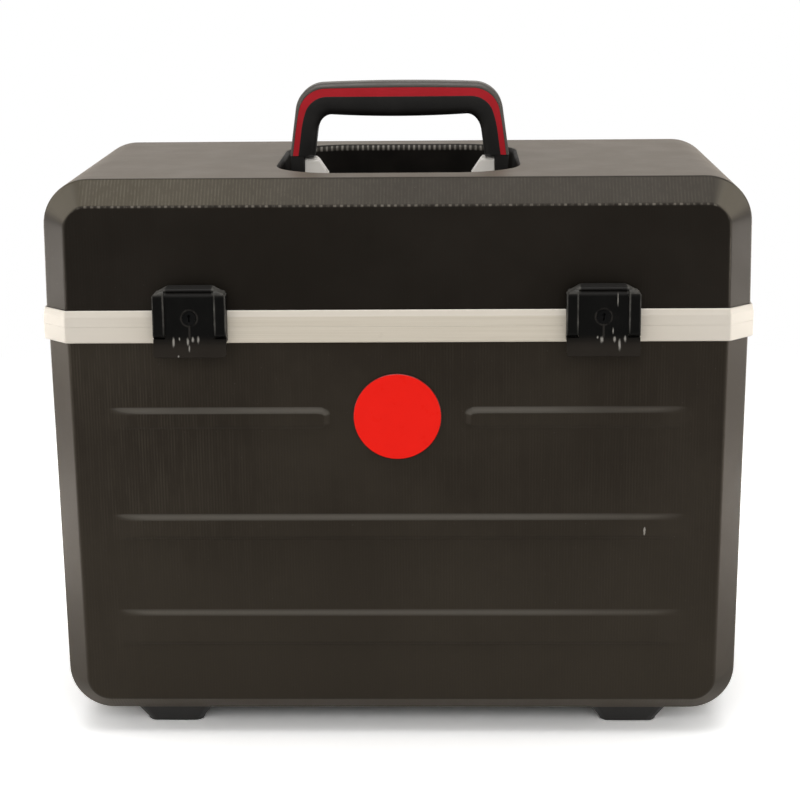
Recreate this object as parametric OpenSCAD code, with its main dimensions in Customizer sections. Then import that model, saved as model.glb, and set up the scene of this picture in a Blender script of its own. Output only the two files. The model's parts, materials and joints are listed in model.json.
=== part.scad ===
// Hard tool case: two moulded shells in an aluminium frame, with a folding handle,
// two key latches and a divided tray. It stands on Z = 0 with its front towards -Y.

/* [Case] */
// Width over the frame, the widest part of the case
case_w = 493; // [440:1:540]
// Depth over the frame
case_d = 270; // [230:5:300]
// Height of the lower shell, from its underside to the parting line
lower_h = 287.5; // [240:2.5:340]
// Height of the lid, from the parting line to its top
lid_h = 100; // [90:2:130]
// Wall of both shells
wall = 3; // [2.6:0.2:3.6]
// Draft of the shells, in degrees
draft = 0.5; // [0.2:0.1:1]
// Length cut off each upright corner of the frame and the shells
corner_cut = 18; // [14:1:22]
// Height of the sloped edge round the lid's top
lid_slope = 17; // [12:1:20]
// Height of the sloped edge round the lower shell's underside
lower_slope = 13; // [9:1:17]
// Corner radius of both shells, seen from the front
corner_r = 32; // [28:1:38]
// Rounding of the folds between the shells' faces
fold_r = 4; // [2:0.5:6]

/* [Ribs] */
// How far the ribs stand out of the lower shell
rib_proud = 2.4; // [1.6:0.2:2.8]
// Height of each rib, from the top one down
rib_heights = [17, 20, 28]; // [14:1:32]
// Upper edge of each rib, below the parting line
rib_drops = [57.5, 135, 206]; // [50:0.5:220]
// Half the length of the ribs
rib_reach = 206; // [180:2:210]
// Half the gap that the top rib leaves for the disc
rib_gap = 46.5; // [40:0.5:60]
// Length over which a rib rises from the wall at its outer ends
rib_run = 26; // [16:1:36]
// Slope of a rib's long edges, across the rib
rib_bevel = 4.5; // [3:0.5:6]

/* [Disc] */
// Radius of the plain disc on the front
disc_r = 30.6; // [24:0.2:36]
// Thickness of the disc
disc_t = 1.4; // [1:0.1:2]
// Centre of the disc, below the parting line
disc_drop = 64.5; // [60:0.5:70]

/* [Frame] */
// Height of each frame half
frame_h = 11.4; // [10.6:0.2:13]
// Outer lip of the lid's frame half
lid_lip = 2; // [1.6:0.1:2.4]
// Outer lip of the lower frame half
lower_lip = 3; // [2.6:0.1:3.4]
// Inner lip of both frame halves
inner_lip = 1.6; // [1.2:0.1:2]
// Height of the inner lip
inner_lip_h = 9.4; // [8.6:0.2:10]
// Web of the lid's frame half, which holds the seal
lid_web = 4.6; // [4.2:0.1:5]
// Web of the lower frame half
lower_web = 2.6; // [2.2:0.1:3]
// Height of the sloped edge along the top of the frame
bevel_h = 4.4; // [3:0.1:5.5]
// How far that edge slopes inwards
bevel_in = 0.9; // [0.5:0.1:1.3]
// Rounding along the lower edge of the frame
edge_r = 2.6; // [1.6:0.1:2.6]
// Height of the lower half's tongue
tongue_h = 1.7; // [1.3:0.1:2]
// Thickness of the tongue
tongue_t = 1.6; // [1.2:0.1:2]
// Thickness of the rubber seal
seal_t = 1.2; // [0.8:0.1:1.4]

/* [Feet] */
// Height of the feet
foot_h = 14; // [11:0.5:18]
// Width and length of a foot where it meets the shell
foot_top = [58, 48]; // [46:1:64]
// Width and length of the sole of a foot
foot_sole = [42, 36]; // [30:1:44]
// Distance from the case's left and right side to a foot's centre
foot_side = 80.5; // [74:0.5:110]
// Distance from the case's front and back to a foot's centre
foot_end = 47; // [46:0.5:75]

/* [Handle] */
// Half the handle's width at the lid's top
handle_w = 80.8; // [77:0.2:82]
// Rise of the handle above the lid's top
handle_rise = 56.4; // [54:0.2:58]
// Thickness of the grip, top to bottom
grip_t = 25.3; // [22:0.1:28]
// Width of the grip, front to back
grip_d = 22; // [18:0.5:22]
// Half the width of the hand opening at the lid's top
hand_w = 62.8; // [60:0.2:63]
// Depth of the pivot below the lid's top
pivot_drop = 11; // [11:0.5:12]
// Radius of the handle's pivot pins
pivot_r = 3; // [2:0.25:3.5]
// Thickness of the handle's feet, along the pivot pins
heel_t = 9.6; // [8:0.2:10]

/* [Recess] */
// Half the width of the recess in the lid, across
recess_w = 85; // [83:0.5:92]
// Half the length of the recess, front to back
recess_l = 87; // [72:0.5:90]
// Depth of the recess
recess_h = 28; // [26:0.5:32]
// How far the recess lies in front of the case's middle
recess_front = 0; // [0:1:12]
// Corner radius of the recess
recess_r = 45; // [36:1:48]
// Draft of the recess's walls, in degrees
recess_draft = 3; // [1:0.5:4]

/* [Latches] */
// Distance from the case's middle to a latch
latch_x = 141; // [120:1:170]
// Width of a latch
latch_w = 50; // [46:1:56]
// Width of the lever between the cheeks
lever_w = 33.4; // [30:0.2:35]
// How far the cheeks stand out of the frame
cheek_out = 12; // [11.4:0.2:13.5]
// Top of the latch, above the parting line
latch_top = 29.5; // [28.5:0.5:33]
// Height of the lever's pivot above the parting line
lever_pivot = 22; // [21.5:0.1:22.5]
// Lower end of the lever's lip, below the parting line
lip_drop = 19; // [17:0.5:23]
// Radius of the key cylinder
key_r = 4.5; // [3.5:0.25:5]
// Height of the key cylinder above the parting line
key_up = 8.3; // [7.8:0.1:8.8]

/* [Hinges] */
// Distance from the case's middle to a hinge
hinge_x = 150; // [110:1:180]
// Length of a hinge
hinge_w = 64; // [50:1:80]
// Radius of the hinge barrel
barrel_r = 3.2; // [2.8:0.1:3.8]
// Radius of the hinge pin
hinge_pin_r = 1.6; // [1.2:0.1:1.9]
// Thickness of the hinge leaves
leaf_t = 1.5; // [1.2:0.1:1.8]
// Number of knuckles, an odd number
knuckles = 5; // [3:2:9]

/* [Tray] */
// Height of the tray's walls
tray_h = 78; // [60:1:110]
// Wall of the tray
tray_t = 2; // [1.6:0.2:2.6]
// Height of the tray's floor above the shell's floor
tray_floor = 7; // [6:0.5:12]
// Thickness of the dividers
divider_t = 2; // [1.6:0.2:3]
// Number of dividers from front to back
divider_count = 3; // [1:1:5]
// Gap between a divider and what holds it
divider_gap = 0.3; // [0.1:0.1:0.5]

/* [Hidden] */
$fn = 48;

// Clearances
seam_gap = 0.2;        // between the closed frame halves
rim_gap = 0.2;         // on each side of a shell's rim in its frame
run_gap = 0.05;        // round a pin in its bore
side_gap = 0.3;        // beside a moving piece
seat_gap = 0.2;        // between a piece and the curved or drafted wall it lies on
cut = 1;               // how far a cutting shape passes the face it cuts
rib_sink = 0.02;       // how far a rib's foot lies under the face it rises from

// Levels and reaches
seam_z = foot_h + lower_h;
top_z = seam_z + lid_h;
tilt = tan(draft);
lean = 2 - sqrt(2);    // how much a 45 degree corner shortens for each unit of inset
lid_inset = lid_lip + rim_gap;
lower_inset = lower_lip + rim_gap;
lid_open = seam_gap / 2 + lid_web + rim_gap;
lower_open = seam_gap / 2 + lower_web + rim_gap;
slot_w = wall + 2 * rim_gap + frame_h * tilt;   // the slot of a frame half, which holds a drafted rim
floor_z = foot_h + wall;
foot_x = case_w / 2 - foot_side;
foot_y = case_d / 2 - foot_end;

// Hinge axis
hinge_y = case_d / 2 + barrel_r + side_gap;
hinge_reach = barrel_r * 2 + side_gap;

// Latch, in its own frame: X along the lever, Y = 0 at the frame's face, Z = 0 at the parting line
plate_t = 1.5;                         // steel of the housing's back plate
lever_t = 2.5;                         // wall of the lever
lever_barrel_r = 4.3;
lever_pin_r = 1.5;
lever_out = cheek_out - 1.4;           // the lever's front face
lever_y = -(lever_out - lever_barrel_r);
cheek_drop = 5.4;                      // how far the cheeks pass the parting line
lip_gap = 0.9;                         // between the cheeks and the lip
lip_top = -(cheek_drop + lip_gap);
lip_flare = 3.2;                       // how far the lip's end stands out of the lever
claw_t = 1.5;
claw_w = 18;
hook_t = 2;
latch_reach = lever_out + lip_flare;
roof_out = lever_out - 0.4;            // front edge of the roof over the lever's barrel
roof_half = 15;                        // half the width of the flat top of a latch
shoulder = 6;                          // fall of its top from there to the sides
tail_h = 3.5;                          // how far the cheeks go on behind the lip
tail_out = lever_out - lever_t - side_gap;

// The bounding box is centred, although the latches reach further out than the hinges
case_y = (latch_reach - hinge_reach) / 2;

// Handle, in its own frame: origin on the pivot axis
recess_y = -recess_front;
pivot_z = top_z - pivot_drop;
heel_r = 9;
heel_step = 12.8;                      // height of the arms' underside over the lugs
arm_lean = 0.136;                      // how much the arms close in as they rise
cap_share = 0.165;                     // part of the grip's thickness that the cap takes
band_share = 0.425;                    // part that the cap and the band take together
heel_in = handle_w - 1.2 - heel_t;     // inner face of the heels
lug_gap = side_gap;                    // between a heel and its lug
flange_t = 2.5;
plate_under_t = 2;
bracket_screw_x = [49.2, 75.5];        // the screws on both sides of a lug
bracket_screw_r = 1.75;
bracket_head_r = 3.4;
bracket_head_t = 1.6;
bracket_nut_r = 3.4;
plate_edge = 8;                        // from the outer screws to the end of the plate under the recess
plate_half_d = 20;
plate_r = 6;

rivet_r = 1.6;
rivet_head_r = 3;
rivet_head_t = 1.2;
tip = 0.8;                             // how far a rivet or screw stands out of what it holds

// Small helpers

module at_case() {
    translate([0, case_y, 0]) children();
}

// Copies to the left and the right
module both_sides(x) {
    for (side = [-1, 1]) translate([side * x, 0, 0]) children();
}

module four_corners(x, y) {
    for (sx = [-1, 1], sy = [-1, 1]) translate([sx * x, sy * y, 0]) children();
}

// Round bar along X, from x0 to x1
module bar_x(x0, x1, r) {
    translate([x0, 0, 0]) rotate([0, 90, 0]) cylinder(h = x1 - x0, r = r);
}

// Round bar along Y, from y0 to y1
module bar_y(y0, y1, r) {
    translate([0, y0, 0]) rotate([-90, 0, 0]) cylinder(h = y1 - y0, r = r);
}

// Outline in Y and Z, pushed along X from x0 to x1
module along_x(x0, x1) {
    translate([x0, 0, 0]) rotate([90, 0, 90]) linear_extrude(x1 - x0) children();
}

// Outline in X and Z, pushed along Y from y0 to y1
module along_y(y0, y1) {
    translate([0, y1, 0]) rotate([90, 0, 0]) linear_extrude(y1 - y0) children();
}

// Solid between rings of equally many points
module loft(rings) {
    n = len(rings[0]);
    last = len(rings) - 1;
    skin = [for (j = [0:last - 1], k = [0:n - 1])
        let (a = j * n + k, b = j * n + (k + 1) % n)
        each [[a, a + n, b], [b, a + n, b + n]]];
    polyhedron(
        points = [for (ring = rings) each ring],
        faces = concat([[for (k = [0:n - 1]) k]], skin, [[for (k = [n - 1:-1:0]) last * n + k]]),
        convexity = 6
    );
}

// Ring-shaped solid whose section is a closed outline, one ring of points for each of its corners
module closed_loft(rings) {
    n = len(rings[0]);
    m = len(rings);
    polyhedron(
        points = [for (ring = rings) each ring],
        faces = [for (j = [0:m - 1], k = [0:n - 1])
            let (j1 = (j + 1) % m, k1 = (k + 1) % n)
            [j * n + k, j1 * n + k, j1 * n + k1, j * n + k1]],
        convexity = 6
    );
}

function round_rect(w, l, r, n) = [for (q = [0:3], i = [0:n])
    let (a = 90 * q + 90 * i / n, sx = q == 0 || q == 3 ? 1 : -1, sy = q < 2 ? 1 : -1)
    [sx * (w - r) + r * cos(a), sy * (l - r) + r * sin(a)]];

function at_height(outline, z) = [for (p = outline) [p[0], p[1], z]];

// Pan-head screw or rivet along +Z, head below Z = 0
module rivet(r, length, head_r, head_t) {
    rotate_extrude() polygon([
        [0, -head_t], [head_r * 0.55, -head_t], [head_r * 0.85, -head_t * 0.75], [head_r, -head_t * 0.3],
        [head_r, 0], [r, 0], [r, length], [0, length]
    ]);
}

// Shells

// Fold between the front face and a side: [inset from the side, depth behind the front]
function fold(c, r, n) = let (t = r * tan(22.5)) [
    for (i = [0:n]) let (a = 45 * i / n) [c + t - r * sin(a), r - r * cos(a)],
    for (i = [0:n]) let (a = 45 + 45 * i / n) [r - r * sin(a), c + t - r * cos(a)]
];

// Upright slice of a shell, as [x, h], where h counts from the parting line to the closed end
function slice(half_w, h_open, h_end, r, n) = let (x = half_w - (h_end - r) * tilt - r) [
    [half_w - h_open * tilt, h_open],
    for (i = [0:n]) let (a = 90 * i / n) [x + r * cos(a), h_end - r + r * sin(a)],
    for (i = [0:n]) let (a = 90 + 90 * i / n) [-x + r * cos(a), h_end - r + r * sin(a)],
    [-half_w + h_open * tilt, h_open]
];

// Full form of a shell, inset from the frame's face and open end at h_open
module pan(inset, end_cut, h_open, h_end, r_end, r_fold, n) {
    c = corner_cut - inset * lean;
    path = fold(c, r_fold, 3);
    rings = [for (side = [1, -1]) each [for (j = [0:len(path) - 1])
        let (p = path[side > 0 ? j : len(path) - 1 - j])
        [for (q = slice(case_w / 2 - inset - p[0], h_open, h_end - p[0] * end_cut / c, r_end - p[0], n))
            [q[0], side * (case_d / 2 - inset - p[1] - q[1] * tilt), q[1]]]]];
    loft(rings);
}

// Skin of a shell, offset from its outside by its wall
module inner_pan(inset, end_cut, h_open, h_end) {
    pan(inset + wall, end_cut - wall * lean, h_open - cut, h_end - wall, corner_r - wall, fold_r / 2, 8);
}

module lower_place() {
    translate([0, 0, seam_z]) mirror([0, 0, 1]) children();
}

// One rib on the front face, from x0 to x1, with its ends rising over run0 and run1
module rib(x0, x1, drop, height, run0, run1, depth, steps) {
    face = case_d / 2 - lower_inset;
    rings = [for (i = [-1:steps])
        let (s = max(i, 0) / steps,
            out = i < 0 ? -cut : (rib_proud + rib_sink) * (1 - cos(180 * s)) / 2 - rib_sink,
            w = (x1 - x0 - s * (run0 + run1)) / 2, h = height / 2 - s * rib_bevel)
        [for (p = round_rect(w, h, min(h, 8 - 4 * s) - 0.1, 3))
            let (down = drop + height / 2 + p[1])
            [(x0 + x1 + s * (run0 - run1)) / 2 + p[0], -(face - depth - down * tilt + out), down]]];
    loft(rings);
}

// All ribs of one face; a gap in the top rib leaves room for the disc
module ribs(gap, depth, steps) {
    for (i = [0:len(rib_drops) - 1]) {
        if (i == 0 && gap > 0) {
            rib(gap, rib_reach, rib_drops[i], rib_heights[i], rib_bevel, rib_run, depth, steps);
            rib(-rib_reach, -gap, rib_drops[i], rib_heights[i], rib_run, rib_bevel, depth, steps);
        } else {
            rib(-rib_reach, rib_reach, rib_drops[i], rib_heights[i], rib_run, rib_run, depth, steps);
        }
    }
}

module ribbed_pan(depth, steps) {
    if (depth == 0) {
        pan(lower_inset, lower_slope, lower_open, lower_h, corner_r, fold_r, 12);
    } else {
        inner_pan(lower_inset, lower_slope, lower_open, lower_h);
    }
    ribs(rib_gap, depth, steps);
    rotate([0, 0, 180]) ribs(0, depth, steps);
}

module lower_shell() {
    color([0.20, 0.18, 0.16]) at_case() difference() {
        lower_place() difference() {
            ribbed_pan(0, 4);
            ribbed_pan(wall, 2);
        }
        four_corners(foot_x, foot_y) cylinder(h = floor_z + cut, r = foot_screw_r + run_gap);
        hinge_rivet_places() hinge_hole(-1);
        strike_rivet_places() bar_y(-cut, rivet_depth_lower + cut, rivet_r + run_gap);
    }
}

// Recess in the lid's top; grow makes it larger by the lid's wall
module recess(grow) {
    fillet = grow > 0 ? 0 : fold_r;
    floor_r = grow > 0 ? 2 : 5;
    depth = recess_h + grow;
    shift = tan(recess_draft);
    levels = concat(
        [for (a = [90:-30:30]) [shift * depth + floor_r * (1 - cos(a)), -depth + floor_r * (1 - sin(a))]],
        [[shift * (depth - floor_r), floor_r - depth], [0, -fillet - 0.01]],
        grow > 0 ? [] : [for (a = [67.5:-22.5:0]) [-fillet * (1 - sin(a)), -fillet * (1 - cos(a))]],
        [[-fillet, cut]]
    );
    rings = [for (p = levels)
        let (inset = p[0] - grow)
        [for (q = round_rect(recess_w - inset, recess_l - inset, recess_r - inset, 8)) [q[0], q[1], p[1]]]];
    translate([0, recess_y, top_z]) loft(rings);
}

module lid_shell() {
    color([0.17, 0.155, 0.14]) at_case() difference() {
        translate([0, 0, seam_z]) pan(lid_inset, lid_slope, lid_open, lid_h, corner_r, fold_r, 12);
        difference() {
            translate([0, 0, seam_z]) inner_pan(lid_inset, lid_slope, lid_open, lid_h);
            recess(wall);
        }
        recess(0);
        bracket_screw_places() translate([0, 0, -wall - cut])
            cylinder(h = wall + cut * 2, r = bracket_screw_r + run_gap);
        hinge_rivet_places() hinge_hole(1);
        latch_places() housing_rivet_places() bar_y(-cut, rivet_depth_lid + cut, rivet_r + run_gap);
    }
}

// Frame

// Plan outline of the frame at an inset, with its corners cut at 45 degrees
function plan(inset, z) = let (
    a = case_w / 2 - inset, b = case_d / 2 - inset, c = corner_cut - inset * lean
) [
    [a, b - c, z], [a - c, b, z], [c - a, b, z], [-a, b - c, z],
    [-a, c - b, z], [c - a, -b, z], [a - c, -b, z], [a, c - b, z]
];

groove_half = tongue_t / 2 + side_gap;
groove_h = seam_gap + tongue_h + side_gap + seal_t;
groove_in = lid_lip + slot_w / 2;         // from the frame's face to the middle of the tongue and the groove

// Outer edges of the frame, as [inset, height above the parting line]
sloped_edge = [[0, frame_h - bevel_h], [bevel_in, frame_h - 0.5], [bevel_in + 0.4, frame_h]];
round_edge = [for (a = [0:22.5:90]) [edge_r * (1 - cos(a)), frame_h - edge_r * (1 - sin(a))]];

// Section of a frame half with one of these edges
function frame_section(edge, lip, web, ridge) = let (low = seam_gap / 2, mid = groove_in, slot = lip + slot_w)
    concat([[0, low]], edge, [
        [lip, frame_h], [lip, low + web], [slot, low + web], [slot, inner_lip_h],
        [slot + inner_lip, inner_lip_h], [slot + inner_lip, low],
        [mid + ridge[0], low], [mid + ridge[0], low + ridge[1]],
        [mid - ridge[0], low + ridge[1]], [mid - ridge[0], low]
    ]);

module frame_half(edge, lip, web, ridge) {
    closed_loft([for (p = frame_section(edge, lip, web, ridge)) plan(p[0], p[1])]);
}

module lower_frame() {
    color([0.88, 0.86, 0.82]) at_case() difference() {
        lower_place() frame_half(round_edge, lower_lip, lower_web, [tongue_t / 2, -tongue_h - seam_gap / 2]);
        hinge_rivet_places() hinge_hole(-1);
        strike_rivet_places() bar_y(-cut, rivet_depth_lower + cut, rivet_r + run_gap);
    }
}

module lid_frame() {
    color([0.88, 0.86, 0.82]) at_case() difference() {
        translate([0, 0, seam_z]) frame_half(sloped_edge, lid_lip, lid_web, [groove_half, groove_h - seam_gap / 2]);
        hinge_rivet_places() hinge_hole(1);
        latch_places() frame_rivet_places() bar_y(-cut, rivet_depth_lid + cut, rivet_r + run_gap);
    }
}

// Rubber cord in the groove of the lid's frame
module lid_seal() {
    out = groove_in - groove_half + run_gap;
    in = groove_in + groove_half - run_gap;
    section = [[out, groove_h - seal_t], [out, groove_h], [in, groove_h], [in, groove_h - seal_t]];
    color([0.10, 0.10, 0.10]) at_case() translate([0, 0, seam_z])
        closed_loft([for (p = section) plan(p[0], p[1])]);
}

// Disc and feet

module front_disc() {
    face = case_d / 2 - lower_inset - disc_drop * tilt + run_gap;
    color([0.86, 0.07, 0.06]) at_case()
        translate([0, -face, seam_z - disc_drop]) rotate([90 + draft, 0, 0])
            rotate_extrude($fn = 96) polygon([
                [0, 0], [disc_r, 0], [disc_r, disc_t - 0.5], [disc_r - 0.5, disc_t], [0, disc_t]
            ]);
}

foot_round = 2.4;                      // rounding round the sole
foot_screw_r = 1.75;
foot_head_r = 3.4;
foot_head_t = 1.8;
foot_head_z = 5;                       // underside of the screw's head above the ground, inside the foot

module feet() {
    color([0.13, 0.12, 0.11]) at_case() four_corners(foot_x, foot_y) difference() {
        loft([
            for (a = [0:30:90]) let (in = foot_round * (1 - sin(a)))
                at_height(round_rect(foot_sole[0] / 2 - in, foot_sole[1] / 2 - in, 7 - in, 4),
                    foot_round * (1 - cos(a))),
            at_height(round_rect(foot_top[0] / 2, foot_top[1] / 2, 9, 4), foot_h)
        ]);
        translate([0, 0, -cut]) cylinder(h = foot_head_z + foot_head_t + cut, r = foot_head_r + side_gap);
        cylinder(h = foot_h + cut, r = foot_screw_r + run_gap);
    }
}

nut_t = 3;

module foot_screws() {
    shank_top = floor_z + nut_t + tip / 2;
    color([0.62, 0.62, 0.64]) at_case() four_corners(foot_x, foot_y) {
        translate([0, 0, foot_head_z + foot_head_t])
            rivet(foot_screw_r, shank_top - foot_head_z - foot_head_t, foot_head_r, foot_head_t);
        translate([0, 0, floor_z]) difference() {
            cylinder(h = nut_t, r = foot_screw_r * 1.9, $fn = 6);
            translate([0, 0, -cut]) cylinder(h = nut_t + 2 * cut, r = foot_screw_r);
        }
    }
}

// Tray and dividers

tray_inset = lower_inset + wall + side_gap;
tray_low = lower_h - wall - side_gap;     // the tray's underside, below the parting line
tray_open = lower_h - wall - tray_h;      // the tray's rim, below the parting line
tray_base = floor_z + tray_floor;         // top of the tray's floor
tray_foot_x = case_w / 2 - tray_inset - tray_low * tilt - (corner_r - wall - side_gap);
tray_foot_y = case_d / 2 - tray_inset - tray_low * tilt - (corner_cut - tray_inset * lean);

// Form of the tray, which follows the inside of the shell
module tray_form(grow) {
    pan(tray_inset + grow, lower_slope - (wall + side_gap + grow) * lean, tray_open - (grow > 0 ? cut : 0),
        tray_low - grow, corner_r - wall - side_gap - grow, fold_r / 2, 8);
}

module bottom_tray() {
    color([0.16, 0.16, 0.17]) at_case() difference() {
        lower_place() tray_form(0);
        intersection() {
            lower_place() tray_form(tray_t);
            translate([-case_w / 2, -case_d / 2, tray_base]) cube([case_w, case_d, seam_z - tray_base]);
        }
        linear_extrude(tray_base - tray_t) polygon(round_rect(tray_foot_x, tray_foot_y, 8, 4));
    }
}

// Inner reach of the tray at its floor and its rim, which bound the dividers
divider_h = tray_h - tray_floor - 6;
divider_low = tray_base + side_gap / 2;
divider_x = case_w / 2 - tray_inset - tray_t - (lower_h + divider_gap) * tilt - divider_gap;
divider_y = case_d / 2 - tray_inset - tray_t - (lower_h + divider_gap) * tilt - divider_gap;
divider_cut = lower_slope + 4;
divider_round = corner_r - wall - tray_t;
divider_pitch = divider_x * 2 / (divider_count + 1);

module long_divider() {
    color([0.30, 0.30, 0.31]) at_case() translate([0, 0, divider_low]) difference() {
        along_y(-divider_t / 2, divider_t / 2) polygon([
            [-divider_x, divider_round], [-divider_x + divider_round * 0.29, divider_round * 0.29],
            [-divider_x + divider_round, 0], [divider_x - divider_round, 0],
            [divider_x - divider_round * 0.29, divider_round * 0.29], [divider_x, divider_round],
            [divider_x, divider_h], [-divider_x, divider_h]
        ]);
        for (i = [1:divider_count]) translate([-divider_x + i * divider_pitch, 0, divider_h / 2])
            translate([-divider_t / 2 - divider_gap, -cut - divider_t / 2, 0])
                cube([divider_t + 2 * divider_gap, divider_t + 2 * cut, divider_h]);
    }
}

module cross_dividers() {
    color([0.34, 0.34, 0.35]) at_case() translate([0, 0, divider_low])
        for (i = [1:divider_count]) translate([-divider_x + i * divider_pitch, 0, 0]) difference() {
            along_x(-divider_t / 2, divider_t / 2) polygon([
                [-divider_y, divider_cut], [divider_cut - divider_y, 0], [divider_y - divider_cut, 0],
                [divider_y, divider_cut], [divider_y, divider_h], [-divider_y, divider_h]
            ]);
            translate([-divider_t / 2 - cut, -divider_t / 2 - divider_gap, -cut])
                cube([divider_t + 2 * cut, divider_t + 2 * divider_gap, divider_h / 2 + cut]);
        }
}

// Hinges

leaf_h = frame_h - 0.6;                   // how far a leaf reaches from the parting line
knuckle_w = hinge_w / knuckles;
hinge_rivet_z = (lid_open + frame_h) / 2;
hinge_rivet_pitch = hinge_w / 3;
rivet_depth_lid = lid_lip + slot_w + inner_lip;
rivet_depth_lower = lower_lip + slot_w + inner_lip;

// Knuckles of one leaf; odd ones belong to the lid
module knuckle_row(odd) {
    for (i = [odd:2:knuckles - 1]) translate([-hinge_w / 2 + i * knuckle_w, 0, 0]) children();
}

// Leaf on the outside of a frame half; up is 1 for the lid's and -1 for the lower one
module hinge_leaf(up) {
    odd = up > 0 ? 1 : 0;
    gap = side_gap / 2;
    difference() {
        union() {
            translate([-hinge_w / 2, -leaf_reach, up > 0 ? barrel_r + side_gap : -leaf_h])
                cube([hinge_w, leaf_t, leaf_h - barrel_r - side_gap]);
            knuckle_row(odd) {
                bar_x(gap, knuckle_w - gap, barrel_r);
                translate([gap, -leaf_reach, up > 0 ? seam_gap : -leaf_h])
                    cube([knuckle_w - 2 * gap, leaf_t, leaf_h - seam_gap]);
                translate([gap, -leaf_reach, up > 0 ? barrel_r * 0.5 : -barrel_r * 0.9])
                    cube([knuckle_w - 2 * gap, barrel_r, barrel_r * 0.4]);
            }
        }
        bar_x(-hinge_w, hinge_w, hinge_pin_r + run_gap);
        for (i = [-1:1]) translate([i * hinge_rivet_pitch, -leaf_reach, up * hinge_rivet_z])
            bar_y(-cut, leaf_t + cut, rivet_r + run_gap);
    }
}

leaf_reach = barrel_r + side_gap;         // from the hinge axis to the frame's face

module at_hinges() {
    at_case() translate([0, hinge_y, seam_z]) both_sides(hinge_x) children();
}

// Places of the hinge rivets, seen from the case's own frame
module hinge_rivet_places() {
    translate([0, case_d / 2, seam_z]) both_sides(hinge_x)
        for (i = [-1:1]) translate([i * hinge_rivet_pitch, 0, 0]) children();
}

module hinge_hole(up) {
    translate([0, 0, up * hinge_rivet_z]) bar_y(-rivet_depth_lower - cut, cut, rivet_r + run_gap);
}

module hinge_leaves_lower() {
    color([0.70, 0.70, 0.71]) at_hinges() hinge_leaf(-1);
}

module hinge_leaves_lid() {
    color([0.72, 0.72, 0.73]) at_hinges() hinge_leaf(1);
}

module hinge_pins() {
    color([0.60, 0.60, 0.62]) at_hinges() bar_x(-hinge_w / 2 - 0.6, hinge_w / 2 + 0.6, hinge_pin_r);
}

module hinge_rivet(up, depth) {
    translate([0, leaf_t, up * hinge_rivet_z]) rotate([90, 0, 0])
        rivet(rivet_r, depth + leaf_t + tip, rivet_head_r, rivet_head_t);
}

module hinge_rivets_lower() {
    color([0.75, 0.75, 0.76]) at_case() hinge_rivet_places() hinge_rivet(-1, rivet_depth_lower);
}

module hinge_rivets_lid() {
    color([0.75, 0.75, 0.76]) at_case() hinge_rivet_places() hinge_rivet(1, rivet_depth_lid);
}

// Latches

strike_t = 1.2;
strike_w = 28;
strike_out = 6;                           // reach of the strike's ledge
ledge_drop = 8.6;                         // underside of the ledge, below the parting line
strike_rivet_x = 9.5;
strike_rivet_drop = lower_open + 1.6;
housing_rivet_x = [6, 11];
frame_rivet_z = lid_open + 2.4;
shell_rivet_z = frame_h + 3.4;

// Places the children at both latches, in the latch's own frame
module latch_places() {
    for (side = [-1, 1]) latch_place(side) children();
}

module latch_place(side) {
    translate([side * latch_x, -case_d / 2, seam_z]) children();
}

module strike_rivet_places() {
    latch_places() both_sides(strike_rivet_x) translate([0, 0, -strike_rivet_drop]) children();
}

// Rivets through the frame, low on the housing
module frame_rivet_places() {
    both_sides(housing_rivet_x[0]) translate([0, 0, frame_rivet_z]) children();
}

// All rivets of a housing: two through the frame and two through the shell above it
module housing_rivet_places() {
    frame_rivet_places() children();
    both_sides(housing_rivet_x[1]) translate([0, 0, shell_rivet_z]) children();
}

module latch_strikes() {
    color([0.66, 0.66, 0.67]) at_case() latch_places() difference() {
        along_x(-strike_w / 2, strike_w / 2) polygon([
            [0, -frame_h + 0.4], [0, -seam_gap / 2 - 0.4], [-strike_t, -seam_gap / 2 - 0.4],
            [-strike_t, -ledge_drop + strike_t], [-strike_out, -ledge_drop + strike_t],
            [-strike_out, -ledge_drop], [-strike_t, -ledge_drop], [-strike_t, -frame_h + 0.4]
        ]);
        both_sides(strike_rivet_x) translate([0, 0, -strike_rivet_drop])
            bar_y(-strike_t - cut, cut, rivet_r + run_gap);
    }
}

module strike_rivets() {
    color([0.75, 0.75, 0.76]) at_case() strike_rivet_places()
        translate([0, -strike_t, 0]) rotate([-90, 0, 0])
            rivet(rivet_r, strike_t + rivet_depth_lower + tip, rivet_head_r * 0.7, rivet_head_t);
}

// Upright section of a cheek, with rounded front corners
module cheek_section() {
    hull() {
        translate([-0.5, -cheek_drop + 0.5]) circle(r = 0.5, $fn = 24);
        translate([-0.5, latch_top - 0.5]) circle(r = 0.5, $fn = 24);
        translate([3 - cheek_out, -cheek_drop + 3]) circle(r = 3, $fn = 32);
        translate([4 - cheek_out, latch_top - 6]) circle(r = 4, $fn = 32);
    }
}

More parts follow.
